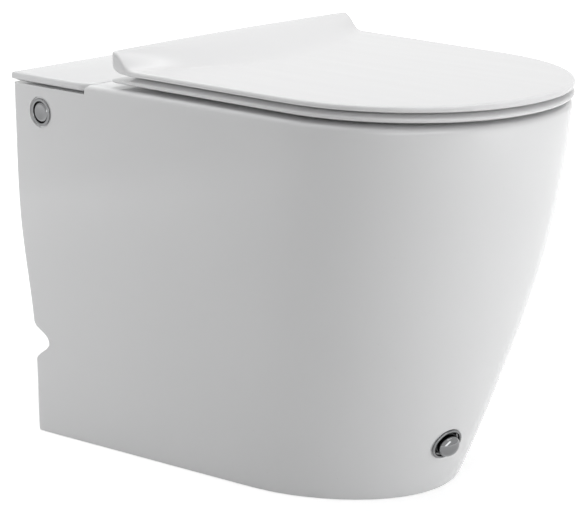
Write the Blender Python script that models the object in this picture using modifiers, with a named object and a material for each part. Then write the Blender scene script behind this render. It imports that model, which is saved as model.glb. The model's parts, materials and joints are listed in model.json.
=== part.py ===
"""A back-to-wall, floor-standing toilet with a concealed flush valve, as separate pieces.

Metres, +Z up. The wall is behind the pan, on the +Y side, and the nose points along -Y.
Depths are measured forwards from the wall face.
"""

import math

import bmesh
import bpy
from mathutils import Matrix, Vector

# Overall sizes
LENGTH = 0.566
WALL_Y = LENGTH / 2
RIM_Z = 0.418
GAP = 0.0003

# Outer form of the pan: plan sizes at the foot and at the rim
RIM_HALF = 0.1945
FOOT_HALF = 0.177
RIM_TAPER = 0.045
FOOT_TAPER = 0.137
RIM_NOSE_START = 0.385
FOOT_NOSE_START = 0.300
RIM_TIP = 0.563
FOOT_TIP = 0.448
NOSE_TOP_Z = 0.410
NOSE_POWER = 1.6
SWELL_LOW_Z = 0.090
SWELL_HIGH_Z = 0.290
NOSE_EXPONENT = 2.05
PAN_WALL = 0.013
RIM_RADIUS = 0.006
LEDGE_Z = 0.4065
DECK_UNDERSIDE_Z = 0.394
PAN_FLANK = (0.08, 0.16, 0.24)

# Bowl sections: height, half-width, rear depth, front depth, exponent
BOWL = (
    (0.430, 0.147, 0.184, 0.531, 2.3),
    (0.418, 0.146, 0.185, 0.530, 2.3),
    (0.412, 0.142, 0.189, 0.526, 2.3),
    (0.395, 0.141, 0.190, 0.525, 2.3),
    (0.350, 0.134, 0.197, 0.515, 2.3),
    (0.300, 0.120, 0.210, 0.492, 2.2),
    (0.260, 0.100, 0.228, 0.462, 2.2),
    (0.225, 0.076, 0.248, 0.428, 2.1),
    (0.200, 0.060, 0.262, 0.405, 2.1),
    (0.175, 0.050, 0.272, 0.390, 2.0),
    (0.158, 0.038, 0.284, 0.376, 2.0),
    (0.150, 0.020, 0.302, 0.358, 2.0),
)
BOWL_WALL = 0.012
BOWL_OUTER_TOP = 0.412

# Trapway: runs and bends, as length or radius with the turn in degrees, from the sump
TRAP_START = (0.335, 0.174)
TRAP_RUNS = (
    (0.050, 0),
    (0.058, 65),
    (0.043, 0),
    (0.058, -140),
    (0.016, 0),
    (0.056, 75),
)
TRAP_END_DEPTH = 0.012
TRAP_WIDEN_FROM = 0.120
TRAP_WIDEN_OVER = 0.085
TRAP_BORE_R = 0.028
OUTLET_BORE_R = 0.040
TRAP_WALL = 0.011
TRAP_JOINT = 0.275
OUTLET_JOINT = 0.160
OUTLET_JOINT_TOP = 0.323

# Flush inlet horn behind the bowl
INLET_Z = 0.362
HORN_OUTER_R = 0.034
HORN_BORE_R = 0.0272
HORN_REAR = 0.150
HORN_FRONT = 0.200

# Rear cover and service bay
COVER_DEPTH = 0.120
COVER_CORNER = 0.020
COVER_LOW_Z = 0.4085
COVER_GAP = 0.002
BAY_HALF = 0.150
BAY_REAR = 0.020
BAY_FRONT = 0.104
LIP_LOW_Z = 0.400
LIP_CLEAR = 0.0025
LIP_WALL = 0.006
COVER_PADS = (0.1665, (0.022, 0.096))
PAD_R = 0.005

# Rounded notch in the rear edge of each flank: height and depth of cut
NOTCH = (
    (0.136, 0.000),
    (0.126, 0.0045),
    (0.116, 0.0120),
    (0.109, 0.0170),
    (0.103, 0.0185),
    (0.097, 0.0160),
    (0.091, 0.0080),
    (0.084, 0.000),
)

# Seat and lid
SEAT_HALF = 0.187
SEAT_TAPER = 0.033
SEAT_REAR = 0.146
SEAT_LOW_Z = 0.421
SEAT_TOP_Z = 0.430
SEAT_RELIEF_Z = 0.426
SEAT_RELIEF_FRONT = 0.1735
SEAT_TIP = 0.5655
SEAT_BUFFERS = ((0.150, 0.250), (0.092, 0.500))
SEAT_BUFFER_R = 0.008
HOLE_HALF = 0.115
HOLE_REAR = 0.215
HOLE_FRONT = 0.508
LID_REAR = 0.147
LID_TIP = 0.566
LID_LOW_Z = 0.4315
LID_EDGE_Z = 0.4375
LID_CROWN = 0.0015
LID_ROUND = 0.003
LID_SKIN = 0.0045
LID_POCKET_FRONT = 0.240
LID_BUFFERS = ((0.146, 0.262), (0.088, 0.494))
LID_BUFFER_R = 0.006
CREST_DEPTH = 0.150
RAMP_RISE = 0.0185
RAMP_EDGE = 0.178
RAMP_SPREAD = 0.070
SPINE_REAR = 0.260
SPINE_FRONT = 0.400

# Hinges, mirrored to both sides
HINGE_DEPTH = 0.158
HINGE_Z = 0.439
KNUCKLE_R = 0.0075
PIN_R = 0.0035
PIN_BORE_R = 0.0039
LID_KNUCKLE = (0.054, 0.067)
POST = (0.070, 0.085)
SEAT_KNUCKLE = (0.088, 0.101)
PIN_SPAN = (0.053, 0.102)
BOLT_X = 0.0775
BOLT_R = 0.004
BOLT_HOLE_R = 0.0055
BOLT_LOW_Z = 0.366
NUT_R = 0.009
NUT_HEIGHT = 0.009
WASHER_HEIGHT = 0.0035
POST_BASE = (0.171, 0.145, 0.4223)
POST_STEM = (0.1645, 0.1515, 0.4195)
DAMPER_R = 0.0065
DAMPER_GAP = 0.0015
SEAT_DAMPER_LENGTH = 0.034
LID_DAMPER_LENGTH = 0.030

# Side push button: its axis runs along X through the left flank
SIDE_DEPTH = 0.044
SIDE_Z = 0.3785
SIDE_FACE_X = -0.1916
SIDE_SPOT_R = 0.0175
SIDE_HOLE_R = 0.0135
SIDE_NUT_R = 0.0170

# Foot button: its axis is square to the nose at this place
FOOT_X = -0.020
FOOT_Z = 0.062
FOOT_SPOT_R = 0.0190
FOOT_SPOT_CUT = 0.0016
FOOT_HOLE_R = 0.0161
FOOT_NUT_R = 0.0215
FOOT_DOME_R = 0.0143
FOOT_DOME_HEIGHT = 0.0095

# Flush valve, hung from a bracket under the deck
VALVE_DEPTH = 0.062
VALVE_R = 0.024
VALVE_LEFT = -0.046
VALVE_RIGHT = 0.046
HEAD_LEFT = -0.078
BRANCH_R = 0.0192
BRANCH_FRONT = 0.0937
BRACKET_Z = 0.3905
BRACKET_HALF = 0.012
BRACKET_SCREWS = (0.012, 0.112)
SCREW_HOLE_R = 0.0029
SCREW_HOLE_TOP = 0.401
SADDLE_BORE_R = 0.0213
NIPPLE_X = (-0.068, -0.0565)
NIPPLE_Z = 0.334
NIPPLE_R = 0.0022

# Pipes
INLET_X = 0.089
INLET_R = 0.0125
INLET_BORE_R = 0.0095
TUBE_R = 0.0025

COLLECTION = "floor_standing_toilet"


def clamp(value, low, high):
    return max(low, min(high, value))


def smoothstep(t):
    t = clamp(t, 0.0, 1.0)
    return t * t * (3 - 2 * t)


def at(x, depth, z):
    """A point from its distance in front of the wall."""
    return Vector((x, WALL_Y - depth, z))


# Scene, materials and objects


def clear_scene():
    for old in list(bpy.data.objects):
        bpy.data.objects.remove(old, do_unlink=True)


def new_collection(name):
    group = bpy.data.collections.new(name)
    bpy.context.scene.collection.children.link(group)
    return group


def material(name, colour, roughness, metallic=0.0):
    made = bpy.data.materials.new(name)
    made.use_nodes = True
    shader = made.node_tree.nodes["Principled BSDF"]
    shader.inputs["Base Color"].default_value = (*colour, 1.0)
    shader.inputs["Roughness"].default_value = roughness
    shader.inputs["Metallic"].default_value = metallic
    made.diffuse_color = (*colour, 1.0)
    return made


def mesh_from(bm, name):
    mesh = bpy.data.meshes.new(name)
    bm.to_mesh(mesh)
    bm.free()
    return mesh


def piece(name, bm, finish, origin=None):
    """A named solid of the toilet; its origin can be moved to a joint's axis."""
    mesh = mesh_from(bm, name)
    made = bpy.data.objects.new(name, mesh)
    parts.objects.link(made)
    mesh.materials.append(finish)
    mesh.shade_smooth()
    mesh.set_sharp_from_angle(angle=math.radians(35))
    if origin is not None:
        mesh.transform(Matrix.Translation(-origin))
        made.location = origin
    return made


def boolean(target, bm, operation):
    """Cuts a shape from the target, or joins it on."""
    name = f"{target.name}_{operation.lower()}_{len(target.modifiers)}"
    tool = bpy.data.objects.new(name, mesh_from(bm, name))
    cutters.objects.link(tool)
    tool.hide_render = True
    tool.display_type = "WIRE"
    step = target.modifiers.new(name, "BOOLEAN")
    step.operation = operation
    step.object = tool
    step.solver = "EXACT"


def cut(target, *shapes):
    for bm in shapes:
        boolean(target, bm, "DIFFERENCE")


def join(target, *shapes):
    for bm in shapes:
        boolean(target, bm, "UNION")


def carry(parent, *children):
    """Parents pieces to the piece or empty that moves them, where they are."""
    bpy.context.view_layer.update()
    for child in children:
        child.parent = parent
        child.matrix_parent_inverse = parent.matrix_world.inverted()


def axis_empty(name, location):
    empty = bpy.data.objects.new(name, None)
    parts.objects.link(empty)
    empty.location = location
    empty.empty_display_size = 0.03
    return empty


# Shapes


def loft(rings):
    """A closed solid through rings of equal point count, with flat ends."""
    bm = bmesh.new()
    loops = [[bm.verts.new(point) for point in ring] for ring in rings]
    for low, high in zip(loops, loops[1:]):
        for i, corner in enumerate(low):
            before = i - 1
            bm.faces.new((low[before], corner, high[i], high[before]))
    bm.faces.new(loops[0])
    bm.faces.new(loops[-1])
    bmesh.ops.recalc_face_normals(bm, faces=bm.faces)
    return bm


def block(low, high):
    """A box between two corners."""
    bm = bmesh.new()
    bmesh.ops.create_cube(bm, size=1.0)
    size = [abs(b - a) for a, b in zip(low, high)]
    centre = (Vector(low) + Vector(high)) / 2
    bmesh.ops.scale(bm, vec=size, verts=bm.verts)
    bmesh.ops.translate(bm, vec=centre, verts=bm.verts)
    return bm


def rod(radius, start, end, sides=24, twist=0.0):
    """A round or many-sided bar between two points."""
    start, end = Vector(start), Vector(end)
    run = end - start
    bm = bmesh.new()
    bmesh.ops.create_cone(
        bm, cap_ends=True, segments=sides, radius1=radius, radius2=radius, depth=run.length
    )
    turn = run.to_track_quat("Z", "Y").to_matrix().to_4x4() @ Matrix.Rotation(twist, 4, "Z")
    bmesh.ops.transform(bm, matrix=Matrix.Translation((start + end) / 2) @ turn, verts=bm.verts)
    return bm


def frame_along(direction, origin):
    """A matrix that sends local +Z along a direction, from an origin."""
    turn = Vector(direction).to_track_quat("Z", "Y").to_matrix().to_4x4()
    return Matrix.Translation(origin) @ turn


def turned(name, profile, finish, place, steps=32, closed=False):
    """A turned piece: radius and height down its outer side, spun about the local Z axis."""
    bm = bmesh.new()
    points = [bm.verts.new((radius, 0.0, height)) for radius, height in profile]
    for first, second in zip(points, points[1:]):
        bm.edges.new((first, second))
    if closed:
        bm.edges.new((points[-1], points[0]))
    mesh = mesh_from(bm, name)
    made = bpy.data.objects.new(name, mesh)
    parts.objects.link(made)
    mesh.materials.append(finish)
    made.matrix_world = place
    spin = made.modifiers.new("turn", "SCREW")
    spin.steps = steps
    spin.render_steps = steps
    spin.use_merge_vertices = True
    spin.merge_threshold = 0.00001
    spin.use_smooth_shade = True
    return made


def smooth_path(points, per_span):
    """Points of a Catmull-Rom curve through the given points."""
    points = [Vector(p) for p in points]
    ends = [2 * points[0] - points[1], *points, 2 * points[-1] - points[-2]]
    path = []
    for a, b, c, d in zip(ends, ends[1:], ends[2:], ends[3:]):
        for i in range(per_span):
            t = i / per_span
            path.append(
                0.5
                * (
                    2 * b
                    + (c - a) * t
                    + (2 * a - 5 * b + 4 * c - d) * t**2
                    + (3 * b - a - 3 * c + d) * t**3
                )
            )
    path.append(points[-1])
    return path


def tube_curve(name, path, radii, resolution):
    """A round tube along a path, as a curve with a bevel and filled ends."""
    curve = bpy.data.curves.new(name, "CURVE")
    curve.dimensions = "3D"
    curve.bevel_depth = radii[0]
    curve.bevel_resolution = resolution
    curve.use_fill_caps = True
    spline = curve.splines.new("POLY")
    spline.points.add(len(path) - 1)
    for point, place, radius in zip(spline.points, path, radii):
        point.co = (*place, 1.0)
        point.radius = radius / radii[0]
    return bpy.data.objects.new(name, curve)


def tube(path, radii, resolution):
    """The same tube as a mesh that can cut or join."""
    guide = tube_curve("tube_guide", path, radii, resolution)
    cutters.objects.link(guide)
    seen = guide.evaluated_get(bpy.context.evaluated_depsgraph_get())
    mesh = bpy.data.meshes.new_from_object(seen)
    bm = bmesh.new()
    bm.from_mesh(mesh)
    bmesh.ops.remove_doubles(bm, verts=bm.verts, dist=0.00001)
    bmesh.ops.recalc_face_normals(bm, faces=bm.faces)
    bpy.data.objects.remove(guide, do_unlink=True)
    bpy.data.meshes.remove(mesh)
    return bm


# Plan outlines


def pan_plan(z):
    """Half-width at the wall, flank taper, nose start and nose tip of the pan at a height."""
    rise = 1 - (1 - clamp(z / NOSE_TOP_Z, 0, 1)) ** NOSE_POWER
    swell = smoothstep((z - SWELL_LOW_Z) / (SWELL_HIGH_Z - SWELL_LOW_Z))
    return (
        FOOT_HALF + (RIM_HALF - FOOT_HALF) * swell,
        FOOT_TAPER + (RIM_TAPER - FOOT_TAPER) * rise,
        FOOT_NOSE_START + (RIM_NOSE_START - FOOT_NOSE_START) * rise,
        FOOT_TIP + (RIM_TIP - FOOT_TIP) * rise,
    )


def outline(plan, inset=0.0, rear=0.0, corner=0.006, flank=(), across=1, nose=12):
    """A symmetric plan, as x and depth: a straight rear, tapered flanks and an oval nose."""
    half, taper, start, tip = plan
    power = 2 / NOSE_EXPONENT

    def side(depth):
        return half - taper * depth - inset

    right = []
    straight = side(rear) - corner
    for i in range(1, across):
        right.append((straight * i / across, rear))
    for i in range(4):
        angle = math.radians(30 * i)
        depth = rear + corner * (1 - math.cos(angle))
        right.append((side(depth) - corner * (1 - math.sin(angle)), depth))
    for depth in flank:
        right.append((side(depth), depth))
    for i in range(nose):
        angle = math.pi / 2 * i / nose
        depth = start + (tip - inset - start) * math.sin(angle) ** power
        right.append((side(depth) * math.cos(angle) ** power, depth))
    left = [(-x, depth) for x, depth in reversed(right)]
    middle = [(0.0, rear)] if across > 1 else []
    return middle + right + [(0.0, tip - inset)] + left


def level(plan, z):
    return [at(x, depth, z) for x, depth in plan]


def oval(half, rear, front, exponent, z, count=40):
    """A level oval between two depths."""
    power = 2 / exponent
    ring = []
    for i in range(count):
        angle = 2 * math.pi * i / count
        across, along = math.cos(angle), math.sin(angle)
        x = math.copysign(half * abs(across) ** power, across)
        reach = math.copysign((front - rear) / 2 * abs(along) ** power, along)
        ring.append(at(x, (front + rear) / 2 + reach, z))
    return ring


# Ceramic pan


def pan_outside():
    heights = [(0.0, 0.0025), (0.003, 0.0)]
    heights += [(z / 1000, 0.0) for z in (30, 60, 90, 120, 150, 180, 215, 250, 290, 330, 370, 400)]
    for i in range(4):
        angle = math.radians(30 * i)
        z = RIM_Z - RIM_RADIUS * (1 - math.sin(angle))
        heights.append((z, RIM_RADIUS * (1 - math.cos(angle))))
    return loft([level(outline(pan_plan(z), inset, flank=PAN_FLANK), z) for z, inset in heights])


def pan_hollow():
    """The space inside the skirt, open below and behind."""
    rings = []
    for z in (-0.010, 0.030, 0.090, 0.150, 0.215, 0.290, 0.345, DECK_UNDERSIDE_Z):
        plan = outline(pan_plan(z), PAN_WALL, rear=-0.020, corner=0.001, flank=PAN_FLANK, nose=8)
        rings.append(level(plan, z))
    return loft(rings)


def bowl(wall=0.0, top=0.430):
    """The bowl's water side, or, with a wall, its outer side below the deck."""
    rings = []
    for z, half, rear, front, exponent in BOWL:
        if z <= top:
            rings.append(oval(half + wall, rear - wall, front + wall, exponent, z - wall))
    return loft(rings)


def trap_path():
    """Centre line of the trapway as depths and heights, bent in arcs."""
    depth, z = TRAP_START
    heading = 0.0
    path = [(depth, z)]
    for size, turn in TRAP_RUNS:
        if turn == 0:
            depth -= size * math.cos(heading)
            z += size * math.sin(heading)
            path.append((depth, z))
            continue
        count = max(3, round(abs(turn) / 17))
        way = math.copysign(1.0, turn)
        centre = (depth + way * size * math.sin(heading), z + way * size * math.cos(heading))
        for _ in range(count):
            heading += math.radians(turn) / count
            depth = centre[0] - way * size * math.sin(heading)
            z = centre[1] - way * size * math.cos(heading)
            path.append((depth, z))
    path.append((TRAP_END_DEPTH, z))
    return path


def trap(wall, resolution, overrun=0.0):
    """The trapway's passage, or its outer side; it widens towards the outlet."""
    path = trap_path()
    if overrun:
        path.append((TRAP_END_DEPTH - overrun, path[-1][1]))
    radii = []
    for depth, _ in path:
        widen = smoothstep((TRAP_WIDEN_FROM - depth) / TRAP_WIDEN_OVER)
        radii.append(TRAP_BORE_R + (OUTLET_BORE_R - TRAP_BORE_R) * widen + wall)
    return tube([at(0.0, depth, z) for depth, z in path], radii, resolution)


def rear_notch():
    rings = []
    for x in (-0.25, 0.25):
        ring = [at(x, depth, z) for z, depth in NOTCH]
        rings.append([at(x, -0.01, NOTCH[0][0]), *ring, at(x, -0.01, NOTCH[-1][0])])
    return loft(rings)


def cover_plan(inset):
    """The cover's outline: the pan's own flanks, with round front corners."""
    half, taper, _, _ = pan_plan(RIM_Z)
    radius = COVER_CORNER - inset
    centre = COVER_DEPTH - COVER_CORNER
    side = half - taper * centre - COVER_CORNER
    right = [(half - inset, inset), (half - taper * centre / 2 - inset, centre / 2)]
    for i in range(6):
        angle = math.radians(18 * i)
        right.append((side + radius * math.cos(angle), centre + radius * math.sin(angle)))
    return right + [(-x, depth) for x, depth in reversed(right)]


def foot_button_frame():
    """Local +Z runs inwards, square to the nose, from the centre of the spot face."""

    def nose_depth(x, z):
        half, taper, start, tip = pan_plan(z)
        depth = tip
        for _ in range(8):
            share = clamp(abs(x) / (half - taper * depth), 0, 1) ** NOSE_EXPONENT
            depth = start + (tip - start) * (1 - share) ** (1 / NOSE_EXPONENT)
        return depth

    step = 0.002
    depth = nose_depth(FOOT_X, FOOT_Z)
    slope_x = (nose_depth(FOOT_X + step, FOOT_Z) - nose_depth(FOOT_X - step, FOOT_Z)) / (2 * step)
    slope_z = (nose_depth(FOOT_X, FOOT_Z + step) - nose_depth(FOOT_X, FOOT_Z - step)) / (2 * step)
    inward = Vector((slope_x, 1.0, slope_z)).normalized()
    return frame_along(inward, at(FOOT_X, depth, FOOT_Z) + inward * FOOT_SPOT_CUT)


def make_skirt():
    """The outer body: skirt, deck and rim, with the bowl's mouth and every hole in them."""
    skirt = piece("ceramic_pan", pan_outside(), glaze)
    cut(skirt, pan_hollow(), bowl())
    recess = [level(cover_plan(-COVER_GAP), z) for z in (LEDGE_Z, RIM_Z + 0.02)]
    cut(skirt, loft(recess))
    cut(skirt, block(at(-BAY_HALF, BAY_FRONT, 0.38), at(BAY_HALF, BAY_REAR, 0.43)))
    cut(skirt, rear_notch())
    for side in (-1, 1):
        x = side * BOLT_X
        cut(skirt, rod(BOLT_HOLE_R, at(x, HINGE_DEPTH, 0.38), at(x, HINGE_DEPTH, 0.43)))
    for depth in BRACKET_SCREWS:
        cut(skirt, rod(SCREW_HOLE_R, at(0, depth, 0.385), at(0, depth, SCREW_HOLE_TOP), 16))
    low, high = at(-0.215, SIDE_DEPTH, SIDE_Z), at(-0.165, SIDE_DEPTH, SIDE_Z)
    cut(skirt, rod(SIDE_HOLE_R, low, high, 32))
    cut(skirt, rod(SIDE_SPOT_R, low, at(SIDE_FACE_X, SIDE_DEPTH, SIDE_Z), 32))
    place = foot_button_frame()
    outer, inner = place @ Vector((0, 0, -0.03)), place @ Vector((0, 0, 0.03))
    cut(skirt, rod(FOOT_HOLE_R, outer, inner, 32), rod(FOOT_SPOT_R, outer, place.translation, 32))


def make_bowl():
    """The bowl with its sump and the flush horn, stuck under the deck."""
    body = piece("ceramic_bowl", bowl(BOWL_WALL, top=BOWL_OUTER_TOP), glaze)
    join(body, rod(HORN_OUTER_R, at(0, HORN_REAR, INLET_Z), at(0, HORN_FRONT, INLET_Z), 32))
    cut(body, bowl(), trap(0.0, 7, overrun=0.02))
    rear, front = at(0, HORN_REAR - 0.01, INLET_Z), at(0, HORN_FRONT + 0.015, INLET_Z)
    cut(body, rod(HORN_BORE_R, rear, front, 32))
    cut(body, block(at(-0.2, 0.6, DECK_UNDERSIDE_Z - GAP), at(0.2, 0.1, RIM_Z)))


def make_trap():
    """The rising leg of the trapway, from the sump's rear wall to the weir."""
    leg = piece("ceramic_trap", trap(TRAP_WALL, 9), glaze)
    cut(leg, trap(0.0, 7, overrun=0.02), bowl(BOWL_WALL + GAP, top=BOWL_OUTER_TOP))
    cut(leg, block(at(-0.08, 0.45, 0.10), at(0.08, TRAP_JOINT, 0.40)))
    cut(leg, block(at(-0.08, OUTLET_JOINT + GAP, 0.10), at(0.08, -0.03, OUTLET_JOINT_TOP)))


def make_outlet():
    """The falling leg of the trapway, from the weir to the spigot."""
    leg = piece("ceramic_outlet", trap(TRAP_WALL, 9), glaze)
    cut(leg, trap(0.0, 7, overrun=0.02))
    cut(leg, block(at(-0.08, 0.45, 0.10), at(0.08, OUTLET_JOINT, 0.40)))


# Rear cover


def make_cover():
    heights = (
        (COVER_LOW_Z, 0.001),
        (COVER_LOW_Z + 0.001, 0.0),
        (RIM_Z - 0.003, 0.0),
        (RIM_Z - 0.0015, 0.0004),
        (RIM_Z - 0.0004, 0.0015),
        (RIM_Z, 0.003),
    )
    body = loft([level(cover_plan(inset), z) for z, inset in heights])
    cover = piece("rear_cover", body, glaze, origin=at(0, COVER_DEPTH / 2, COVER_LOW_Z))
    outside = block(
        at(-BAY_HALF + LIP_CLEAR, BAY_FRONT - LIP_CLEAR, LIP_LOW_Z),
        at(BAY_HALF - LIP_CLEAR, BAY_REAR + LIP_CLEAR, 0.4100),
    )
    inner = LIP_CLEAR + LIP_WALL
    inside = block(
        at(-BAY_HALF + inner, BAY_FRONT - inner, LIP_LOW_Z - 0.005),
        at(BAY_HALF - inner, BAY_REAR + inner, COVER_LOW_Z + 0.0005),
    )
    join(cover, outside)
    cut(cover, inside)
    pad_x, pad_depths = COVER_PADS
    corners = [(side * pad_x, depth) for side in (-1, 1) for depth in pad_depths]
    for number, (x, depth) in enumerate(corners, 1):
        low, high = at(x, depth, LEDGE_Z + GAP), at(x, depth, COVER_LOW_Z - GAP)
        pad = piece(f"cover_pad_{number}", rod(PAD_R, low, high, 20), rubber)
        carry(cover, pad)
    return cover


# Seat


def seat_outline(inset, rear, tip, flank, across):
    plan = (SEAT_HALF, SEAT_TAPER, RIM_NOSE_START, tip)
    return outline(plan, inset, rear, corner=0.008, flank=flank, across=across, nose=14)


def seat_hole():
    levels = (
        (0.4150, 0.0030),
        (SEAT_LOW_Z, 0.0020),
        (0.4228, 0.0),
        (0.4268, 0.0),
        (0.4288, 0.0012),
        (SEAT_TOP_Z, 0.0040),
        (0.4350, 0.0090),
    )
    rings = []
    for z, flare in levels:
        rings.append(oval(HOLE_HALF + flare, HOLE_REAR - flare, HOLE_FRONT + flare, 2.2, z, 48))
    return loft(rings)


def rear_chamfer():
    """Takes the lower rear edge off the seat, so that it clears the deck as it turns."""
    corners = ((0.1440, 0.4180), (0.1535, 0.4180), (0.1460, 0.4255), (0.1440, 0.4255))
    return loft([[at(x, depth, z) for depth, z in corners] for x in (-0.2, 0.2)])


def make_seat(hinge):
    levels = (
        (SEAT_LOW_Z, 0.0020),
        (SEAT_LOW_Z + 0.0016, 0.0),
        (SEAT_TOP_Z - 0.0030, 0.0),
        (SEAT_TOP_Z - 0.0010, 0.0010),
        (SEAT_TOP_Z, 0.0032),
    )
    flank = (0.20, 0.29)
    rings = []
    for z, inset in levels:
        rings.append(level(seat_outline(inset, SEAT_REAR, SEAT_TIP, flank, 1), z))
    seat = piece("seat_ring", loft(rings), seat_plastic, origin=hinge.location.copy())
    cut(seat, seat_hole(), rear_chamfer())
    low, high = SEAT_RELIEF_Z, SEAT_TOP_Z + 0.01
    cut(seat, block(at(-0.2, SEAT_RELIEF_FRONT, low), at(0.2, 0.130, high)))
    for side in (-1, 1):
        near, far = (side * x for x in (POST[0] - 0.0025, POST[1] + 0.0025))
        cut(seat, block(at(near, 0.173, 0.41), at(far, 0.130, 0.44)))
        near, far = (side * x for x in SEAT_KNUCKLE)
        neck = block(at(near, 0.1635, 0.4235), at(far, 0.1525, HINGE_Z))
        knuckle = rod(KNUCKLE_R, at(near, HINGE_DEPTH, HINGE_Z), at(far, HINGE_DEPTH, HINGE_Z))
        join(seat, neck, knuckle)
        near, far = side * (SEAT_KNUCKLE[0] - 0.01), side * (SEAT_KNUCKLE[1] + 0.01)
        cut(seat, rod(PIN_BORE_R, at(near, HINGE_DEPTH, HINGE_Z), at(far, HINGE_DEPTH, HINGE_Z)))
    carry(hinge, seat)
    places = [(side * x, depth) for x, depth in SEAT_BUFFERS for side in (-1, 1)]
    for number, (x, depth) in enumerate(places, 1):
        low, high = at(x, depth, RIM_Z + GAP), at(x, depth, SEAT_LOW_Z - GAP)
        carry(seat, piece(f"seat_buffer_{number}", rod(SEAT_BUFFER_R, low, high, 20), rubber))
    return seat


# Lid


def lid_top(x, depth):
    """Height of the lid's upper face: nearly flat, then swept up to the crest over the hinges."""
    across = clamp(abs(x) / SEAT_HALF, 0, 1)
    base = RAMP_EDGE + RAMP_SPREAD * (1 - across**2)
    ramp = smoothstep((base - depth) / (base - CREST_DEPTH))
    return LID_EDGE_Z + LID_CROWN * (1 - across**2) + RAMP_RISE * ramp


def lid_body():
    flank = (0.160, 0.166, 0.172, 0.180, 0.215, 0.30)

    def ring(inset):
        return seat_outline(inset, LID_REAR + inset, LID_TIP, flank, across=12)

    def tail_share(depth):
        return clamp((LID_REAR + 0.004 - depth) / 0.004, 0, 1)

    rings = []
    lower_edge = ((0.0, 0.0015, 0.003), (0.06, 0.0004, 0.0015), (0.27, 0.0, 0.0))
    for share, inset, pull in lower_edge:
        points = []
        for (x, depth), (outer_x, outer_depth) in zip(ring(inset), ring(0.0)):
            side_z = lid_top(outer_x, outer_depth) - LID_ROUND
            height = LID_LOW_Z + share * (side_z - LID_LOW_Z)
            points.append(at(x, depth + pull * tail_share(outer_depth), height))
        rings.append(points)
    for drop, inset in ((LID_ROUND, 0.0), (0.0015, 0.0004), (0.0004, 0.0015), (0.0, LID_ROUND)):
        rings.append([at(x, depth, lid_top(x, depth) - drop) for x, depth in ring(inset)])
    edge = ring(LID_ROUND)
    for share in (0.96, 0.90, 0.83, 0.75, 0.66, 0.56, 0.40, 0.10):
        points = []
        for x, depth in edge:
            spine = clamp(depth, SPINE_REAR, SPINE_FRONT)
            x, depth = x * share, spine + (depth - spine) * share
            points.append(at(x, depth, lid_top(x, depth)))
        rings.append(points)
    return loft(rings)


def lid_pocket():
    """The hollow under the swept-up rear, which leaves a skin over the hinges."""
    rings = []
    steps = 7
    for i in range(steps + 1):
        depth = CREST_DEPTH + (LID_POCKET_FRONT - CREST_DEPTH) * i / steps
        skin = LID_SKIN + 0.0015 * i / steps
        roof = []
        for j in range(11):
            x = BAY_HALF * (1 - j / 5)
            roof.append(at(x, depth, lid_top(x, depth) - skin))
        rings.append([at(-BAY_HALF, depth, 0.42), at(BAY_HALF, depth, 0.42), *roof])
    return loft(rings)


def make_lid(hinge, seat):
    lid = piece("lid", lid_body(), seat_plastic, origin=hinge.location.copy())
    cut(lid, lid_pocket())
    for side in (-1, 1):
        near, far = side * 0.068, side * 0.103
        cut(lid, block(at(near, 0.1545, 0.42), at(far, 0.130, HINGE_Z + 0.0105)))
        near, far = (side * x for x in LID_KNUCKLE)
        web = block(at(near, 0.1640, HINGE_Z), at(far, 0.1520, 0.4530))
        knuckle = rod(KNUCKLE_R, at(near, HINGE_DEPTH, HINGE_Z), at(far, HINGE_DEPTH, HINGE_Z))
        join(lid, web, knuckle)
        near, far = side * (LID_KNUCKLE[0] - 0.01), side * (LID_KNUCKLE[1] + 0.01)
        cut(lid, rod(PIN_BORE_R, at(near, HINGE_DEPTH, HINGE_Z), at(far, HINGE_DEPTH, HINGE_Z)))
    carry(seat, lid)
    places = [(side * x, depth) for x, depth in LID_BUFFERS for side in (-1, 1)]
    for number, (x, depth) in enumerate(places, 1):
        low, high = at(x, depth, SEAT_TOP_Z + GAP), at(x, depth, LID_LOW_Z - GAP)
        carry(lid, piece(f"lid_buffer_{number}", rod(LID_BUFFER_R, low, high, 20), rubber))
    return lid


# Hinges


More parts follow.
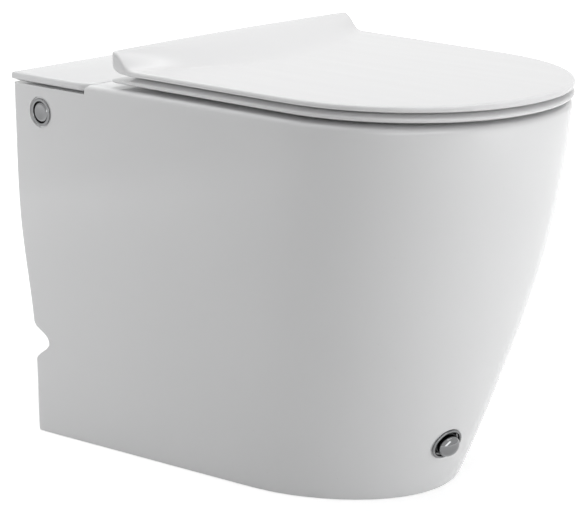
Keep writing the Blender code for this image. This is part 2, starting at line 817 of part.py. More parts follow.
def make_hinge(side, label):
    """The fixed half of one hinge: post, pin, bolt, washer and nut."""
    near, far = (side * x for x in POST)
    front, rear, top = POST_BASE
    base = block(at(near, front, RIM_Z + GAP), at(far, rear, top))
    post = piece(f"hinge_post_{label}", base, satin_metal)
    front, rear, low = POST_STEM
    upright = block(at(near, front, low), at(far, rear, HINGE_Z))
    barrel = rod(KNUCKLE_R, at(near, HINGE_DEPTH, HINGE_Z), at(far, HINGE_DEPTH, HINGE_Z))
    join(post, upright, barrel)
    near, far = side * (POST[0] - 0.01), side * (POST[1] + 0.01)
    cut(post, rod(PIN_BORE_R, at(near, HINGE_DEPTH, HINGE_Z), at(far, HINGE_DEPTH, HINGE_Z)))
    x = side * BOLT_X
    cut(post, rod(BOLT_R + GAP, at(x, HINGE_DEPTH, 0.41), at(x, HINGE_DEPTH, 0.4305)))
    near, far = (side * x for x in PIN_SPAN)
    pin = rod(PIN_R, at(near, HINGE_DEPTH, HINGE_Z), at(far, HINGE_DEPTH, HINGE_Z))
    piece(f"hinge_pin_{label}", pin, steel)
    bolt = rod(BOLT_R, at(x, HINGE_DEPTH, BOLT_LOW_Z), at(x, HINGE_DEPTH, 0.4300))
    piece(f"hinge_bolt_{label}", bolt, steel)
    hole = BOLT_R + GAP
    under = DECK_UNDERSIDE_Z - GAP
    place = Matrix.Translation(at(x, HINGE_DEPTH, under))
    ring = ((0.0105, 0.0), (0.0080, -WASHER_HEIGHT), (hole, -WASHER_HEIGHT), (hole, 0.0))
    turned(f"hinge_washer_{label}", ring, rubber, place, 24, closed=True)
    nut_top = under - WASHER_HEIGHT - GAP
    low, high = at(x, HINGE_DEPTH, nut_top - NUT_HEIGHT), at(x, HINGE_DEPTH, nut_top)
    nut = rod(NUT_R, low, high, 6)
    nut = piece(f"hinge_nut_{label}", nut, white_plastic)
    cut(nut, rod(hole, at(x, HINGE_DEPTH, nut_top - 0.02), at(x, HINGE_DEPTH, nut_top + 0.01)))


def make_dampers(seat, lid):
    """Soft-close cartridges on the hinge axis: one turns with the seat, one with the lid."""
    seat_start = SEAT_KNUCKLE[1] + DAMPER_GAP
    lid_start = DAMPER_GAP - LID_KNUCKLE[0]
    for name, body, start, length in (
        ("seat_damper", seat, seat_start, SEAT_DAMPER_LENGTH),
        ("lid_damper", lid, lid_start, LID_DAMPER_LENGTH),
    ):
        near, far = at(start, HINGE_DEPTH, HINGE_Z), at(start + length, HINGE_DEPTH, HINGE_Z)
        carry(body, piece(name, rod(DAMPER_R, near, far), grey_plastic))


# Buttons


def coil(radius, wire, start, end, turns, place, name):
    """A compression spring along the local Z axis."""
    count = int(turns * 8)
    path = []
    for i in range(count + 1):
        angle = 2 * math.pi * turns * i / count
        height = start + wire + (end - start - 2 * wire) * i / count
        path.append(place @ Vector((radius * math.cos(angle), radius * math.sin(angle), height)))
    spring = tube_curve(name, path, [wire] * len(path), 1)
    parts.objects.link(spring)
    spring.data.materials.append(steel)
    return spring


def make_side_button():
    """A push button in the flank; local +Z runs inwards from the spot face."""
    place = frame_along((1, 0, 0), at(SIDE_FACE_X, SIDE_DEPTH, SIDE_Z))
    bezel = (
        (0.0131, 0.0236),
        (0.0131, -GAP),
        (0.0160, -GAP),
        (0.0160, -0.0010),
        (0.0152, -0.0018),
        (0.0124, -0.0018),
        (0.0115, -0.0012),
        (0.0115, 0.0236),
    )
    turned("side_button_ring", bezel, chrome, place, 40, closed=True)
    cap = (
        (0.0, 0.0300),
        (0.0040, 0.0300),
        (0.0045, 0.0295),
        (0.0045, 0.0030),
        (0.0112, 0.0030),
        (0.0112, -0.0006),
        (0.0104, -0.0013),
        (0.0080, -0.0013),
        (0.0, -0.0005),
    )
    button = turned("side_button_cap", cap, chrome, place, 40)
    coil(0.0075, 0.0006, 0.0033, 0.0232, 6.0, place, "side_button_spring")
    low, high = place @ Vector((0, 0, 0.0136)), place @ Vector((0, 0, 0.0186))
    nut = rod(SIDE_NUT_R, low, high, 6, twist=math.radians(30))
    nut = piece("side_button_locknut", nut, white_plastic)
    low, high = place @ Vector((0, 0, 0.01)), place @ Vector((0, 0, 0.03))
    cut(nut, rod(SIDE_HOLE_R - 0.0001, low, high, 32))
    pump = (
        (0.0, 0.0560),
        (0.0022, 0.0560),
        (0.0022, 0.0490),
        (0.0130, 0.0490),
        (0.0140, 0.0480),
        (0.0140, 0.0239),
        (0.0050, 0.0239),
        (0.0050, 0.0400),
        (0.0, 0.0400),
    )
    turned("side_button_pump", pump, grey_plastic, place, 32)
    return button, place


def make_foot_button():
    """A domed kick button in the nose; local +Z runs inwards, square to the glaze."""
    place = foot_button_frame()
    bezel = (
        (0.0158, 0.0260),
        (0.0158, -GAP),
        (0.0183, -GAP),
        (0.0183, -0.0016),
        (0.0172, -0.0030),
        (0.0156, -0.0030),
        (0.0147, -0.0020),
        (0.0147, 0.0260),
    )
    turned("foot_button_ring", bezel, chrome, place, 40, closed=True)
    dome = [(0.0, 0.0320), (0.0045, 0.0320), (0.0050, 0.0315), (0.0050, 0.0050)]
    dome += [(FOOT_DOME_R, 0.0050)]
    for i in range(7):
        angle = math.radians(15 * i)
        radius = FOOT_DOME_R * math.cos(angle)
        dome.append((radius, -0.0030 - FOOT_DOME_HEIGHT * math.sin(angle)))
    button = turned("foot_button_dome", dome, chrome, place, 40)
    coil(0.0085, 0.0008, 0.0054, 0.0258, 6.0, place, "foot_button_spring")
    nut = rod(FOOT_NUT_R, place @ Vector((0, 0, 0.0166)), place @ Vector((0, 0, 0.0216)), 6)
    nut = piece("foot_button_locknut", nut, white_plastic)
    low, high = place @ Vector((0, 0, 0.01)), place @ Vector((0, 0, 0.03))
    cut(nut, rod(FOOT_HOLE_R, low, high, 32))
    pump = (
        (0.0, 0.0600),
        (0.0022, 0.0600),
        (0.0022, 0.0520),
        (0.0160, 0.0520),
        (0.0175, 0.0505),
        (0.0175, 0.0263),
        (0.0056, 0.0263),
        (0.0056, 0.0410),
        (0.0, 0.0410),
    )
    turned("foot_button_pump", pump, grey_plastic, place, 32)
    return button, place


# Flush valve and its pipes


def make_valve():
    axis = frame_along((1, 0, 0), at(0, VALVE_DEPTH, INLET_Z))
    body = (
        (0.0, VALVE_RIGHT),
        (0.0170, VALVE_RIGHT),
        (0.0170, 0.036),
        (VALVE_R, 0.031),
        (VALVE_R, 0.018),
        (0.0210, 0.015),
        (0.0210, -0.020),
        (VALVE_R, -0.024),
        (0.0245, VALVE_LEFT),
        (0.0, VALVE_LEFT),
    )
    valve = turned("flush_valve_body", body, brass, axis, 32)
    front = at(0, BRANCH_FRONT, INLET_Z)
    branch = rod(BRANCH_R, at(0, VALVE_DEPTH, INLET_Z), at(0, BRANCH_FRONT - 0.0017, INLET_Z), 32)
    flange = rod(VALVE_R, at(0, BRANCH_FRONT - 0.0047, INLET_Z), front, 32)
    join(valve, branch, flange)
    head = (
        (0.0, VALVE_LEFT - GAP),
        (0.0240, VALVE_LEFT - GAP),
        (0.0240, -0.056),
        (0.0200, -0.062),
        (0.0200, -0.074),
        (0.0180, HEAD_LEFT),
        (0.0, HEAD_LEFT),
    )
    pilot = turned("valve_pilot_head", head, white_plastic, axis, 32)
    for x in NIPPLE_X:
        low, high = at(x, VALVE_DEPTH, NIPPLE_Z), at(x, VALVE_DEPTH, NIPPLE_Z + 0.011)
        join(pilot, rod(NIPPLE_R, high, low, 12))
    strap = block(
        at(-BRACKET_HALF, 0.119, BRACKET_Z),
        at(BRACKET_HALF, 0.005, DECK_UNDERSIDE_Z - GAP),
    )
    bracket = piece("valve_bracket", strap, steel)
    saddle = block(at(-BRACKET_HALF, 0.076, 0.3825), at(BRACKET_HALF, 0.048, BRACKET_Z + 0.001))
    join(bracket, saddle)
    left, right = at(-0.03, VALVE_DEPTH, INLET_Z), at(0.03, VALVE_DEPTH, INLET_Z)
    cut(bracket, rod(SADDLE_BORE_R, left, right, 32))
    for number, depth in enumerate(BRACKET_SCREWS, 1):
        cut(bracket, rod(SCREW_HOLE_R, at(0, depth, 0.38), at(0, depth, 0.40), 16))
        place = Matrix.Translation(at(0, depth, BRACKET_Z - GAP))
        screw = (
            (0.0, 0.0100),
            (0.0025, 0.0100),
            (0.0025, 0.0),
            (0.0048, 0.0),
            (0.0048, -0.0022),
            (0.0035, -0.0034),
            (0.0, -0.0034),
        )
        turned(f"bracket_screw_{number}", screw, steel, place, 16)


def make_water_path():
    """Brass inlet from the wall side, flush pipe to the horn, and its seal."""
    start = VALVE_RIGHT + GAP
    run = [(start, VALVE_DEPTH), (0.062, VALVE_DEPTH), (0.076, 0.059), (0.086, 0.050)]
    run += [(INLET_X, depth) for depth in (0.038, 0.022, 0.006)]
    path = smooth_path([at(x, depth, INLET_Z) for x, depth in run], 2)
    inlet = piece("water_inlet_pipe", tube(path, [INLET_R] * len(path), 6), brass)
    bore = rod(INLET_BORE_R, at(INLET_X, -0.010, INLET_Z), at(INLET_X, 0.026, INLET_Z), 24)
    cut(inlet, bore)
    pipe_place = frame_along((0, -1, 0), at(0, 0, INLET_Z))
    pipe = (
        (0.0200, 0.1780),
        (0.0200, 0.1020),
        (0.0240, 0.1005),
        (0.0240, 0.0940),
        (0.0175, 0.0940),
        (0.0175, 0.1780),
    )
    turned("flush_pipe", pipe, white_plastic, pipe_place, 32, closed=True)
    seal = (
        (HORN_BORE_R - GAP, 0.1700),
        (HORN_BORE_R - GAP, 0.1500),
        (0.0310, 0.1495),
        (0.0310, 0.1455),
        (0.0203, 0.1455),
        (0.0203, 0.1700),
    )
    turned("flush_pipe_seal", seal, rubber, pipe_place, 32, closed=True)


def make_air_tubes(side_place, foot_place):
    """The tubes that carry a push from each button's pump to the pilot head."""
    lower = NIPPLE_Z - GAP
    route = [foot_place @ Vector((0, 0, reach)) for reach in (0.0603, 0.0660, 0.0760)]
    route += [at(-0.045, 0.365, 0.098), at(-0.078, 0.300, 0.088), at(-0.092, 0.200, 0.105)]
    route += [at(-0.094, 0.120, 0.185), at(-0.076, 0.082, 0.245), at(-0.0600, 0.066, 0.290)]
    route += [at(NIPPLE_X[1], VALVE_DEPTH, z) for z in (0.312, 0.326, lower)]
    short = [side_place @ Vector((0, 0, reach)) for reach in (0.0563, 0.0610, 0.0680)]
    short += [at(-0.110, 0.048, 0.360), at(-0.098, 0.056, 0.325), at(-0.082, 0.061, 0.305)]
    short += [at(NIPPLE_X[0], VALVE_DEPTH, z) for z in (0.312, 0.326, lower)]
    for name, points, per_span in (("foot_air_tube", route, 5), ("side_air_tube", short, 4)):
        path = smooth_path(points, per_span)
        line = tube_curve(name, path, [TUBE_R] * len(path), 1)
        parts.objects.link(line)
        line.data.materials.append(grey_plastic)


clear_scene()
parts = new_collection(COLLECTION)
cutters = new_collection("cutters")

glaze = material("white_glaze", (0.88, 0.885, 0.89), 0.10)
seat_plastic = material("white_seat_plastic", (0.89, 0.89, 0.90), 0.22)
chrome = material("chrome", (0.72, 0.73, 0.74), 0.08, 1.0)
satin_metal = material("satin_hinge_metal", (0.62, 0.62, 0.63), 0.32, 1.0)
steel = material("stainless_steel", (0.55, 0.55, 0.56), 0.35, 1.0)
brass = material("brass", (0.71, 0.55, 0.28), 0.30, 1.0)
rubber = material("grey_rubber", (0.35, 0.35, 0.36), 0.80)
white_plastic = material("white_fitting_plastic", (0.80, 0.80, 0.80), 0.45)
grey_plastic = material("grey_fitting_plastic", (0.28, 0.29, 0.30), 0.50)

make_skirt()
make_bowl()
make_trap()
make_outlet()
make_cover()
hinge_axis = axis_empty("hinge_axis", at(0, HINGE_DEPTH, HINGE_Z))
seat_ring = make_seat(hinge_axis)
lid_shell = make_lid(hinge_axis, seat_ring)
for hinge_side, hinge_label in ((-1, "left"), (1, "right")):
    make_hinge(hinge_side, hinge_label)
make_dampers(seat_ring, lid_shell)
side_button, side_frame = make_side_button()
foot_button, foot_frame = make_foot_button()
make_valve()
make_water_path()
make_air_tubes(side_frame, foot_frame)
inward_axis = foot_frame.to_3x3() @ Vector((0, 0, 1))
print("foot button axis", [round(v, 5) for v in inward_axis])
print("foot button spot face", [round(v, 5) for v in foot_frame.translation])
print("hinge axis at", [round(v, 5) for v in hinge_axis.location])
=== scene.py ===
# %% [markdown]
# # Dressing a back-to-wall toilet
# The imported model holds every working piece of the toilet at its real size: the ceramic pan, the
# seat, the lid, two push buttons and the flush valve inside. This lesson gives the large pieces
# smooth forms, and every piece a finish. All lengths are in metres, +Z is up, the wall is on the
# +Y side and the nose of the pan points along -Y.

# %% Load the model
import json
import math

import bmesh
import bpy
from mathutils import Matrix, Vector


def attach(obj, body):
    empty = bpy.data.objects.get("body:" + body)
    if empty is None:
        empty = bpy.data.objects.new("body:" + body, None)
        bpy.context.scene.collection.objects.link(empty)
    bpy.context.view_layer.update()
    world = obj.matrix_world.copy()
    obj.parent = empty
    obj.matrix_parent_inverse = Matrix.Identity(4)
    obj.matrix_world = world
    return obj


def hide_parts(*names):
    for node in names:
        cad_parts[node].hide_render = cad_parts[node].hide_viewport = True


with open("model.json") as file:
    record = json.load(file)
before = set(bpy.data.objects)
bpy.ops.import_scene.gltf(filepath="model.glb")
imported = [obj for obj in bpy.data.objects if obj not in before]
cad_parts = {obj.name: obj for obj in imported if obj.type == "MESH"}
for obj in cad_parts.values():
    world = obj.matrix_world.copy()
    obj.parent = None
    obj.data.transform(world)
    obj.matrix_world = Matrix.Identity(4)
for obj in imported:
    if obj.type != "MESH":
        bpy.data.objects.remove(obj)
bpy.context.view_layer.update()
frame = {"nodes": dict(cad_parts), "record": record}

# %% [markdown]
# ## The camera
# The picture is taken from about table height, in front of the left flank, with a long lens. The
# lines of the deck and the seat gave the direction, and how fast the far edges close in gave the
# distance. A constraint could aim the camera too, but a matrix of its right, up and backward
# directions says at once where it looks.

# %% Place the camera
CAMERA_AZIMUTH = math.radians(-47.0)
CAMERA_ELEVATION = math.radians(15.6)
CAMERA_PLACE = Vector((-1.5693, -1.4159, 0.8144))
CAMERA_LENS = 124.3


def camera_turn(azimuth, elevation):
    """The camera's right, up and backward directions, as a matrix."""
    reach, rise = math.cos(elevation), math.sin(elevation)
    right = Vector((math.cos(azimuth), math.sin(azimuth), 0.0))
    back = Vector((math.sin(azimuth) * reach, -math.cos(azimuth) * reach, rise))
    return Matrix((right, back.cross(right), back)).transposed().to_4x4()


camera_data = bpy.data.cameras.new("camera")
camera_data.lens = CAMERA_LENS
camera = bpy.data.objects.new("camera", camera_data)
bpy.context.scene.collection.objects.link(camera)
facing = camera_turn(CAMERA_AZIMUTH, CAMERA_ELEVATION)
camera.matrix_world = Matrix.Translation(CAMERA_PLACE) @ facing
bpy.context.scene.camera = camera
bpy.context.scene.view_settings.view_transform = "Standard"
print("camera", [round(v, 3) for v in camera.location], "lens", camera_data.lens)

# %% [markdown]
# ## Wiring materials in plain Python
# A node material is a sum on colours and numbers, so it reads best as one, and linking each Math
# node by hand would hide that sum. `Wire` stands for a node's output. It knows the operators that
# the finishes need, also with a plain number on their left.

# %% A socket that takes part in sums


class Wire:
    """A node's output that can be added and scaled."""

    def __init__(self, wiring, socket):
        self.wiring = wiring
        self.socket = socket

    def maths(self, operation, other=0.0):
        settings = {"operation": operation}
        return self.wiring.node("ShaderNodeMath", settings, {0: self, 1: other})[0]

    def __add__(self, other):
        return self.maths("ADD", other)

    __radd__ = __add__

    def __mul__(self, other):
        return self.maths("MULTIPLY", other)

    __rmul__ = __mul__


# %% [markdown]
# `Wiring` adds nodes to any node tree, from a type, its settings and what goes into its sockets.
# The materials and the room share it, so both are written in the same way. A node's outputs come
# back as a list, and the few that are needed by their place in it get a name here.

# %% Adding nodes to a tree
GENERATED, OBJECT = 0, 3
CAMERA_RAY, GLOSSY_RAY, TRANSMISSION_RAY = 0, 3, 6
EVEN = (1.0, 1.0, 1.0)


class Wiring:
    """Adds nodes to the node tree of a material or of the world."""

    def __init__(self, tree):
        self.tree = tree

    def node(self, kind, settings=None, sockets=None):
        """Adds a node and gives back its outputs."""
        made = self.tree.nodes.new(kind)
        for key, value in (settings or {}).items():
            setattr(made, key, value)
        for key, value in (sockets or {}).items():
            self.put(made.inputs[key], value)
        return [Wire(self, output) for output in made.outputs]

    def put(self, socket, value):
        """Links a wire to a socket, or sets the socket to a value."""
        if isinstance(value, Wire):
            self.tree.links.new(value.socket, socket)
        else:
            socket.default_value = value

    def ramp(self, source, low, high, first, second):
        """Goes from first to second while the source goes from low to high."""
        sockets = {0: source, 1: low, 2: high, 3: first, 4: second}
        return self.node("ShaderNodeMapRange", None, sockets)[0]

    def blend(self, mask, first, second):
        """A colour between two colours."""
        ends = [end if isinstance(end, Wire) else (*end, 1.0) for end in (first, second)]
        sockets = {0: mask, 6: ends[0], 7: ends[1]}
        return self.node("ShaderNodeMix", {"data_type": "RGBA"}, sockets)[2]


# %% [markdown]
# `Finish` is the wiring of one material. It starts from the Principled shader and has short ways
# to add what finishes are made of: noise in real sizes, and bumps that may lie on other bumps. The
# noise reads Object coordinates, because every finished piece sits at the origin.

# %% A material


class Finish(Wiring):
    """A material with a Principled shader, and short ways to add patterns to it."""

    def __init__(self, name, **constants):
        self.material = bpy.data.materials.new(name)
        self.material.use_nodes = True
        super().__init__(self.material.node_tree)
        self.shader = self.tree.nodes["Principled BSDF"]
        for socket, value in constants.items():
            self.shader.inputs[socket.replace("_", " ")].default_value = value

    def places(self, stretch=EVEN):
        """Object coordinates in metres, stretched where a pattern has a direction."""
        spot = self.node("ShaderNodeTexCoord")[OBJECT]
        return self.node("ShaderNodeMapping", None, {"Vector": spot, "Scale": stretch})[0]

    def noise(self, scale, detail=2.0, stretch=EVEN):
        sockets = {"Vector": self.places(stretch), "Scale": scale, "Detail": detail}
        return self.node("ShaderNodeTexNoise", None, sockets)[0]

    def raise_by(self, height, distance, strength, under=None):
        """Bumps the surface; `under` is the bump that it lies on."""
        sockets = {"Height": height, "Distance": distance, "Strength": strength}
        if under is not None:
            sockets["Normal"] = under
        return self.node("ShaderNodeBump", None, sockets)[0]

    def wear(self, colour, roughness, normal):
        """Feeds the shader and gives back the material."""
        for socket, value in (("Base Color", colour), ("Roughness", roughness), ("Normal", normal)):
            self.put(self.shader.inputs[socket], value)
        return self.material


# %% [markdown]
# ## The finishes
# Fired glaze is white with a trace of blue. It is never perfectly flat: it has long, shallow waves
# where the liquid glaze flowed, a fine skin like orange peel, and a few pin-sized specks. Two
# bumps, one on the other, give waves and peel. Small cells that show only where a second noise is
# high give the specks, so that they stay rare.

# %% White glaze


def make_glaze():
    glaze = Finish("white_glaze", Roughness=0.1, IOR=1.52)
    cells = {"Vector": glaze.places(), "Scale": 95.0}
    speck = glaze.node("ShaderNodeTexVoronoi", {"feature": "F1"}, cells)[0]
    dot = glaze.ramp(speck, 0.035, 0.06, 1.0, 0.0)
    sparse = glaze.ramp(glaze.noise(30.0, 0.0), 0.60, 0.66, 0.0, 1.0)
    pale = glaze.blend(glaze.noise(7.0), (0.862, 0.866, 0.872), (0.884, 0.887, 0.892))
    colour = glaze.blend(dot * sparse * 0.35, pale, (0.62, 0.61, 0.59))
    waves = glaze.raise_by(glaze.noise(11.0, 1.0), 0.0012, 0.25)
    peel = glaze.raise_by(glaze.noise(210.0, 1.0), 0.00008, 0.35, under=waves)
    return glaze.wear(colour, 0.085 + 0.05 * glaze.noise(19.0), peel)


white_glaze = make_glaze()
print("glaze nodes", len(white_glaze.node_tree.nodes))

# %% [markdown]
# The seat and the lid are pressed from a hard thermoset plastic. It is nearly as white as the
# glaze but a little less sharp, with faint flow marks from the mould and hairline wiping marks.
# Both marks are noise that is stretched along the seat.

# %% White seat plastic


def make_seat_plastic():
    plastic = Finish("white_seat_plastic", Roughness=0.2, IOR=1.5)
    flow = plastic.noise(5.0, 3.0, stretch=(1.0, 0.35, 1.0))
    colour = plastic.blend(flow, (0.872, 0.872, 0.878), (0.892, 0.892, 0.897))
    wipes = plastic.noise(60.0, 2.0, stretch=(1.0, 0.08, 1.0))
    grain = plastic.raise_by(plastic.noise(420.0, 1.0), 0.00003, 0.3)
    return plastic.wear(colour, 0.17 + 0.07 * wipes, grain)


seat_plastic = make_seat_plastic()
print("seat plastic nodes", len(seat_plastic.node_tree.nodes))

# %% [markdown]
# The metals differ mainly in how they were finished: the buttons are polished and plated, the
# hinge posts are satin, the pins and springs are drawn wire, and the valve is cast brass. So one
# function makes them all, and only colours, sharpness and grain change. The chrome is given a dark
# grey, a painted dark reflection, because it has little more than a white room to mirror.

# %% Metals


def make_metal(name, dark, light, roughness, spread, scale, stretch=EVEN, bump=0.00002):
    metal = Finish(name, Metallic=1.0, Roughness=roughness)
    stain = metal.noise(35.0, 3.0)
    lines = metal.noise(scale, 3.0, stretch)
    colour = metal.blend(stain, dark, light)
    return metal.wear(colour, roughness + spread * lines, metal.raise_by(lines, bump, 0.4))


# The chrome's dark grey is a painted dark reflection, not the plating's own colour.
chrome = make_metal(
    "polished_chrome", (0.195, 0.198, 0.202), (0.245, 0.248, 0.252), 0.06, 0.08, 90.0
)
satin_metal = make_metal(
    "satin_metal", (0.50, 0.50, 0.51), (0.62, 0.62, 0.63), 0.28, 0.14, 900.0, (0.05, 1.0, 1.0)
)
steel = make_metal("drawn_steel", (0.42, 0.42, 0.43), (0.55, 0.55, 0.56), 0.30, 0.15, 700.0)
brass = make_metal(
    "cast_brass", (0.50, 0.36, 0.16), (0.72, 0.55, 0.28), 0.28, 0.22, 260.0, bump=0.0001
)
print("metals", [metal.name for metal in (chrome, satin_metal, steel, brass)])

# %% [markdown]
# Rubber and the fittings' plastic hardly shine. A fine grain and a slight change of shade keep
# them from looking like plain paint.

# %% Rubber and fitting plastic


def make_dull(name, dark, light, roughness, scale, bump):
    dull = Finish(name, Roughness=roughness)
    colour = dull.blend(dull.noise(18.0, 4.0), dark, light)
    grain = dull.noise(scale, 3.0)
    return dull.wear(colour, roughness - 0.08 + 0.16 * grain, dull.raise_by(grain, bump, 0.5))


rubber = make_dull("grey_rubber", (0.10, 0.10, 0.105), (0.16, 0.16, 0.165), 0.75, 600.0, 0.0001)
fitting_white = make_dull(
    "white_fitting_plastic", (0.72, 0.72, 0.71), (0.80, 0.80, 0.79), 0.42, 500.0, 0.00006
)
fitting_grey = make_dull(
    "grey_fitting_plastic", (0.20, 0.205, 0.21), (0.28, 0.285, 0.29), 0.45, 500.0, 0.00006
)
print("materials", len(bpy.data.materials))

# %% [markdown]
# ## Plans and heights
# The pan, seat and lid all have the same kind of plan: a straight rear, flanks that draw in a
# little, and an oval nose. A place in it is given by its distance in front of the wall, as a
# fitter would measure it. One outline function serves all three, so that their edges stay parallel.

# %% The plan shared by pan, seat and lid
WALL_Y = 0.283
NOSE_EXPONENT = 2.05


def at(x, depth, z):
    """A point from its distance in front of the wall."""
    return Vector((x, WALL_Y - depth, z))


def clamp(value, low, high):
    return max(low, min(high, value))


def smoothstep(t):
    t = clamp(t, 0.0, 1.0)
    return t * t * (3 - 2 * t)


def plan(half, taper, start, tip, inset=0.0, rear=0.0, corner=0.006, flank=(), across=1, nose=12):
    """A symmetric outline, as x and depth, from the middle of the rear to the nose and back.

    The nose begins at the depth `start` and ends at `tip`. The depths in `flank` and the counts
    `across` and `nose` say where the outline has its points.
    """
    power = 2 / NOSE_EXPONENT

    def side(depth):
        return half - taper * depth - inset

    right = [((side(rear) - corner) * i / across, rear) for i in range(1, across)]
    for i in range(4):
        angle = math.radians(30 * i)
        depth = rear + corner * (1 - math.cos(angle))
        right.append((side(depth) - corner * (1 - math.sin(angle)), depth))
    right += [(side(depth), depth) for depth in flank]
    for i in range(nose):
        angle = math.pi / 2 * i / nose
        depth = start + (tip - inset - start) * math.sin(angle) ** power
        right.append((side(depth) * math.cos(angle) ** power, depth))
    left = [(-x, depth) for x, depth in reversed(right)]
    return ([(0.0, rear)] if across > 1 else []) + right + [(0.0, tip - inset)] + left


def level(outline, z):
    return [at(x, depth, z) for x, depth in outline]


def oval(half, rear, front, exponent, z, count=48):
    """An oval ring between two depths; a higher exponent makes it squarer."""
    ring = []
    for i in range(count):
        angle = 2 * math.pi * i / count
        across, along = math.cos(angle), math.sin(angle)
        x = math.copysign(half * abs(across) ** (2 / exponent), across)
        reach = math.copysign((front - rear) / 2 * abs(along) ** (2 / exponent), along)
        ring.append(at(x, (front + rear) / 2 + reach, z))
    return ring


# %% [markdown]
# ## Solids from rings
# A vessel is easiest to think of as a stack of rings. Each ring starts as a circle whose corners
# are moved to the plan, the rings are bridged one to the next, and subdivision smooths the result.
# Bars and blocks are the tools that drill and cut it.

# %% Bridge rings into a solid


def add_ring(bm, places):
    """A circle whose corners are moved to the given places; gives back its edges."""
    corners = bmesh.ops.create_circle(bm, segments=len(places), radius=1.0)["verts"]
    for corner, place in zip(corners, places):
        corner.co = place
    return list({edge for corner in corners for edge in corner.link_edges})


def stack(rings):
    """Rings bridged one to the next and closed at both ends."""
    bm = bmesh.new()
    loops = [add_ring(bm, places) for places in rings]
    for low, high in zip(loops, loops[1:]):
        bmesh.ops.bridge_loops(bm, edges=low + high)
    for end in (loops[0], loops[-1]):
        bmesh.ops.contextual_create(bm, geom=end)
    bmesh.ops.recalc_face_normals(bm, faces=bm.faces)
    return bm


def prism(edge, half):
    """A side view, as depth and height, carried across from one side to the other."""
    return stack([[at(x, depth, z) for depth, z in edge] for x in (-half, half)])


def bar(radius, start, end, sides=64):
    """A round bar between two points."""
    run = end - start
    bm = bmesh.new()
    bmesh.ops.create_cone(
        bm, cap_ends=True, segments=sides, radius1=radius, radius2=radius, depth=run.length
    )
    turn = run.to_track_quat("Z", "Y").to_matrix().to_4x4()
    bmesh.ops.transform(bm, matrix=Matrix.Translation((start + end) / 2) @ turn, verts=bm.verts)
    return bm


def block(low, high):
    bm = bmesh.new()
    bmesh.ops.create_cube(bm, size=1.0)
    bmesh.ops.scale(bm, vec=[abs(b - a) for a, b in zip(low, high)], verts=bm.verts)
    bmesh.ops.translate(bm, vec=(low + high) / 2, verts=bm.verts)
    return bm


# %% [markdown]
# ## A piece that can be cut and joined
# A piece is shaped with modifiers first and made plain at the end. `Shape` holds one such piece:
# it smooths, cuts and joins, and `done` applies everything, marks the sharp edges, gives the
# material, hangs the piece on an empty for the body it moves with, and hides the nodes it stands
# for.
# Cutting with exact booleans after the smoothing keeps the rims of the holes crisp.

# %% Shape


class Shape:
    """A piece that is smoothed, cut and joined, and then made plain."""

    def __init__(self, name, bm, smooth=0):
        self.made = self.solid(name, bm, smooth)
        self.tools = []

    def solid(self, name, bm, smooth):
        """An object from a bmesh, with as many rounds of smoothing as asked for."""
        mesh = bpy.data.meshes.new(name)
        bm.to_mesh(mesh)
        bm.free()
        made = bpy.data.objects.new(name, mesh)
        bpy.context.scene.collection.objects.link(made)
        if smooth:
            rounded = made.modifiers.new("rounded", "SUBSURF")
            rounded.levels = rounded.render_levels = smooth
        return made

    def work(self, operation, bm, smooth):
        tool = self.solid(f"{self.made.name}_tool_{len(self.tools)}", bm, smooth)
        self.tools.append(tool)
        step = self.made.modifiers.new(tool.name, "BOOLEAN")
        step.operation, step.object, step.solver = operation, tool, "EXACT"
        return self

    def cut(self, bm, smooth=0):
        return self.work("DIFFERENCE", bm, smooth)

    def join(self, bm, smooth=0):
        return self.work("UNION", bm, smooth)

    def done(self, body, material, slot, *nodes, sharp=35):
        """Applies all of it, hangs the piece on its body's empty and hides the nodes it stands for;
        `sharp` is in degrees.
        """
        made = self.made
        graph = bpy.context.evaluated_depsgraph_get()
        mesh = bpy.data.meshes.new_from_object(made.evaluated_get(graph))
        made.modifiers.clear()
        made.data = mesh
        for tool in self.tools:
            bpy.data.objects.remove(tool, do_unlink=True)
        mesh.shade_smooth()
        mesh.set_sharp_from_angle(angle=math.radians(sharp))
        mesh.materials.clear()
        mesh.materials.append(material)
        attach(made, body)
        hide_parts(*nodes)
        print(made.name, "faces", len(mesh.polygons))


# %% [markdown]
# ## The ceramic pan
# The skirt is widest at the rim. Lower down the flanks step in by about 17 mm in one soft curve,
# and the nose runs back towards the foot. The rings carry that: each height has its own
# half-width, taper, nose start and tip, which go from those of the foot to those of the rim. The
# rim falls a little towards its outer edge and then rounds over.

# %% Outer form of the pan
RIM_Z = 0.418
RIM_RADIUS = 0.006
RIM_FALL = 0.0013
RIM_BAND = 0.010
PAN_FLANK = (0.08, 0.16, 0.24)
FOOT_SHAPE = (0.177, 0.137, 0.300, 0.448)
RIM_GAIN = (0.0175, -0.092, 0.085, 0.115)


def pan_plan(z):
    """Half-width at the wall, taper, nose start and tip of the pan at a height."""
    rise = 1 - (1 - clamp(z / 0.410, 0, 1)) ** 1.6
    swell = smoothstep((z - 0.090) / 0.200)
    shares = (swell, rise, rise, rise)
    return tuple(foot + gain * share for foot, gain, share in zip(FOOT_SHAPE, RIM_GAIN, shares))


def pan_outside():
    heights = [(0.0, 0.0025), (0.0004, 0.0010), (0.003, 0.0), (0.010, 0.0)]
    heights += [(z / 1000, 0.0) for z in (30, 60, 90, 120, 150, 180, 215, 250, 290, 330, 370, 398)]
    for i in range(5):
        angle = math.radians(22.5 * i)
        drop, inset = RIM_RADIUS * (1 - math.sin(angle)), RIM_RADIUS * (1 - math.cos(angle))
        heights.append((RIM_Z - RIM_FALL - drop, inset))
    heights.append((RIM_Z, RIM_RADIUS + RIM_BAND))
    return stack([level(plan(*pan_plan(z), inset, flank=PAN_FLANK), z) for z, inset in heights])


print("pan half-width at floor and rim", [round(pan_plan(z)[0], 4) for z in (0.0, RIM_Z)])

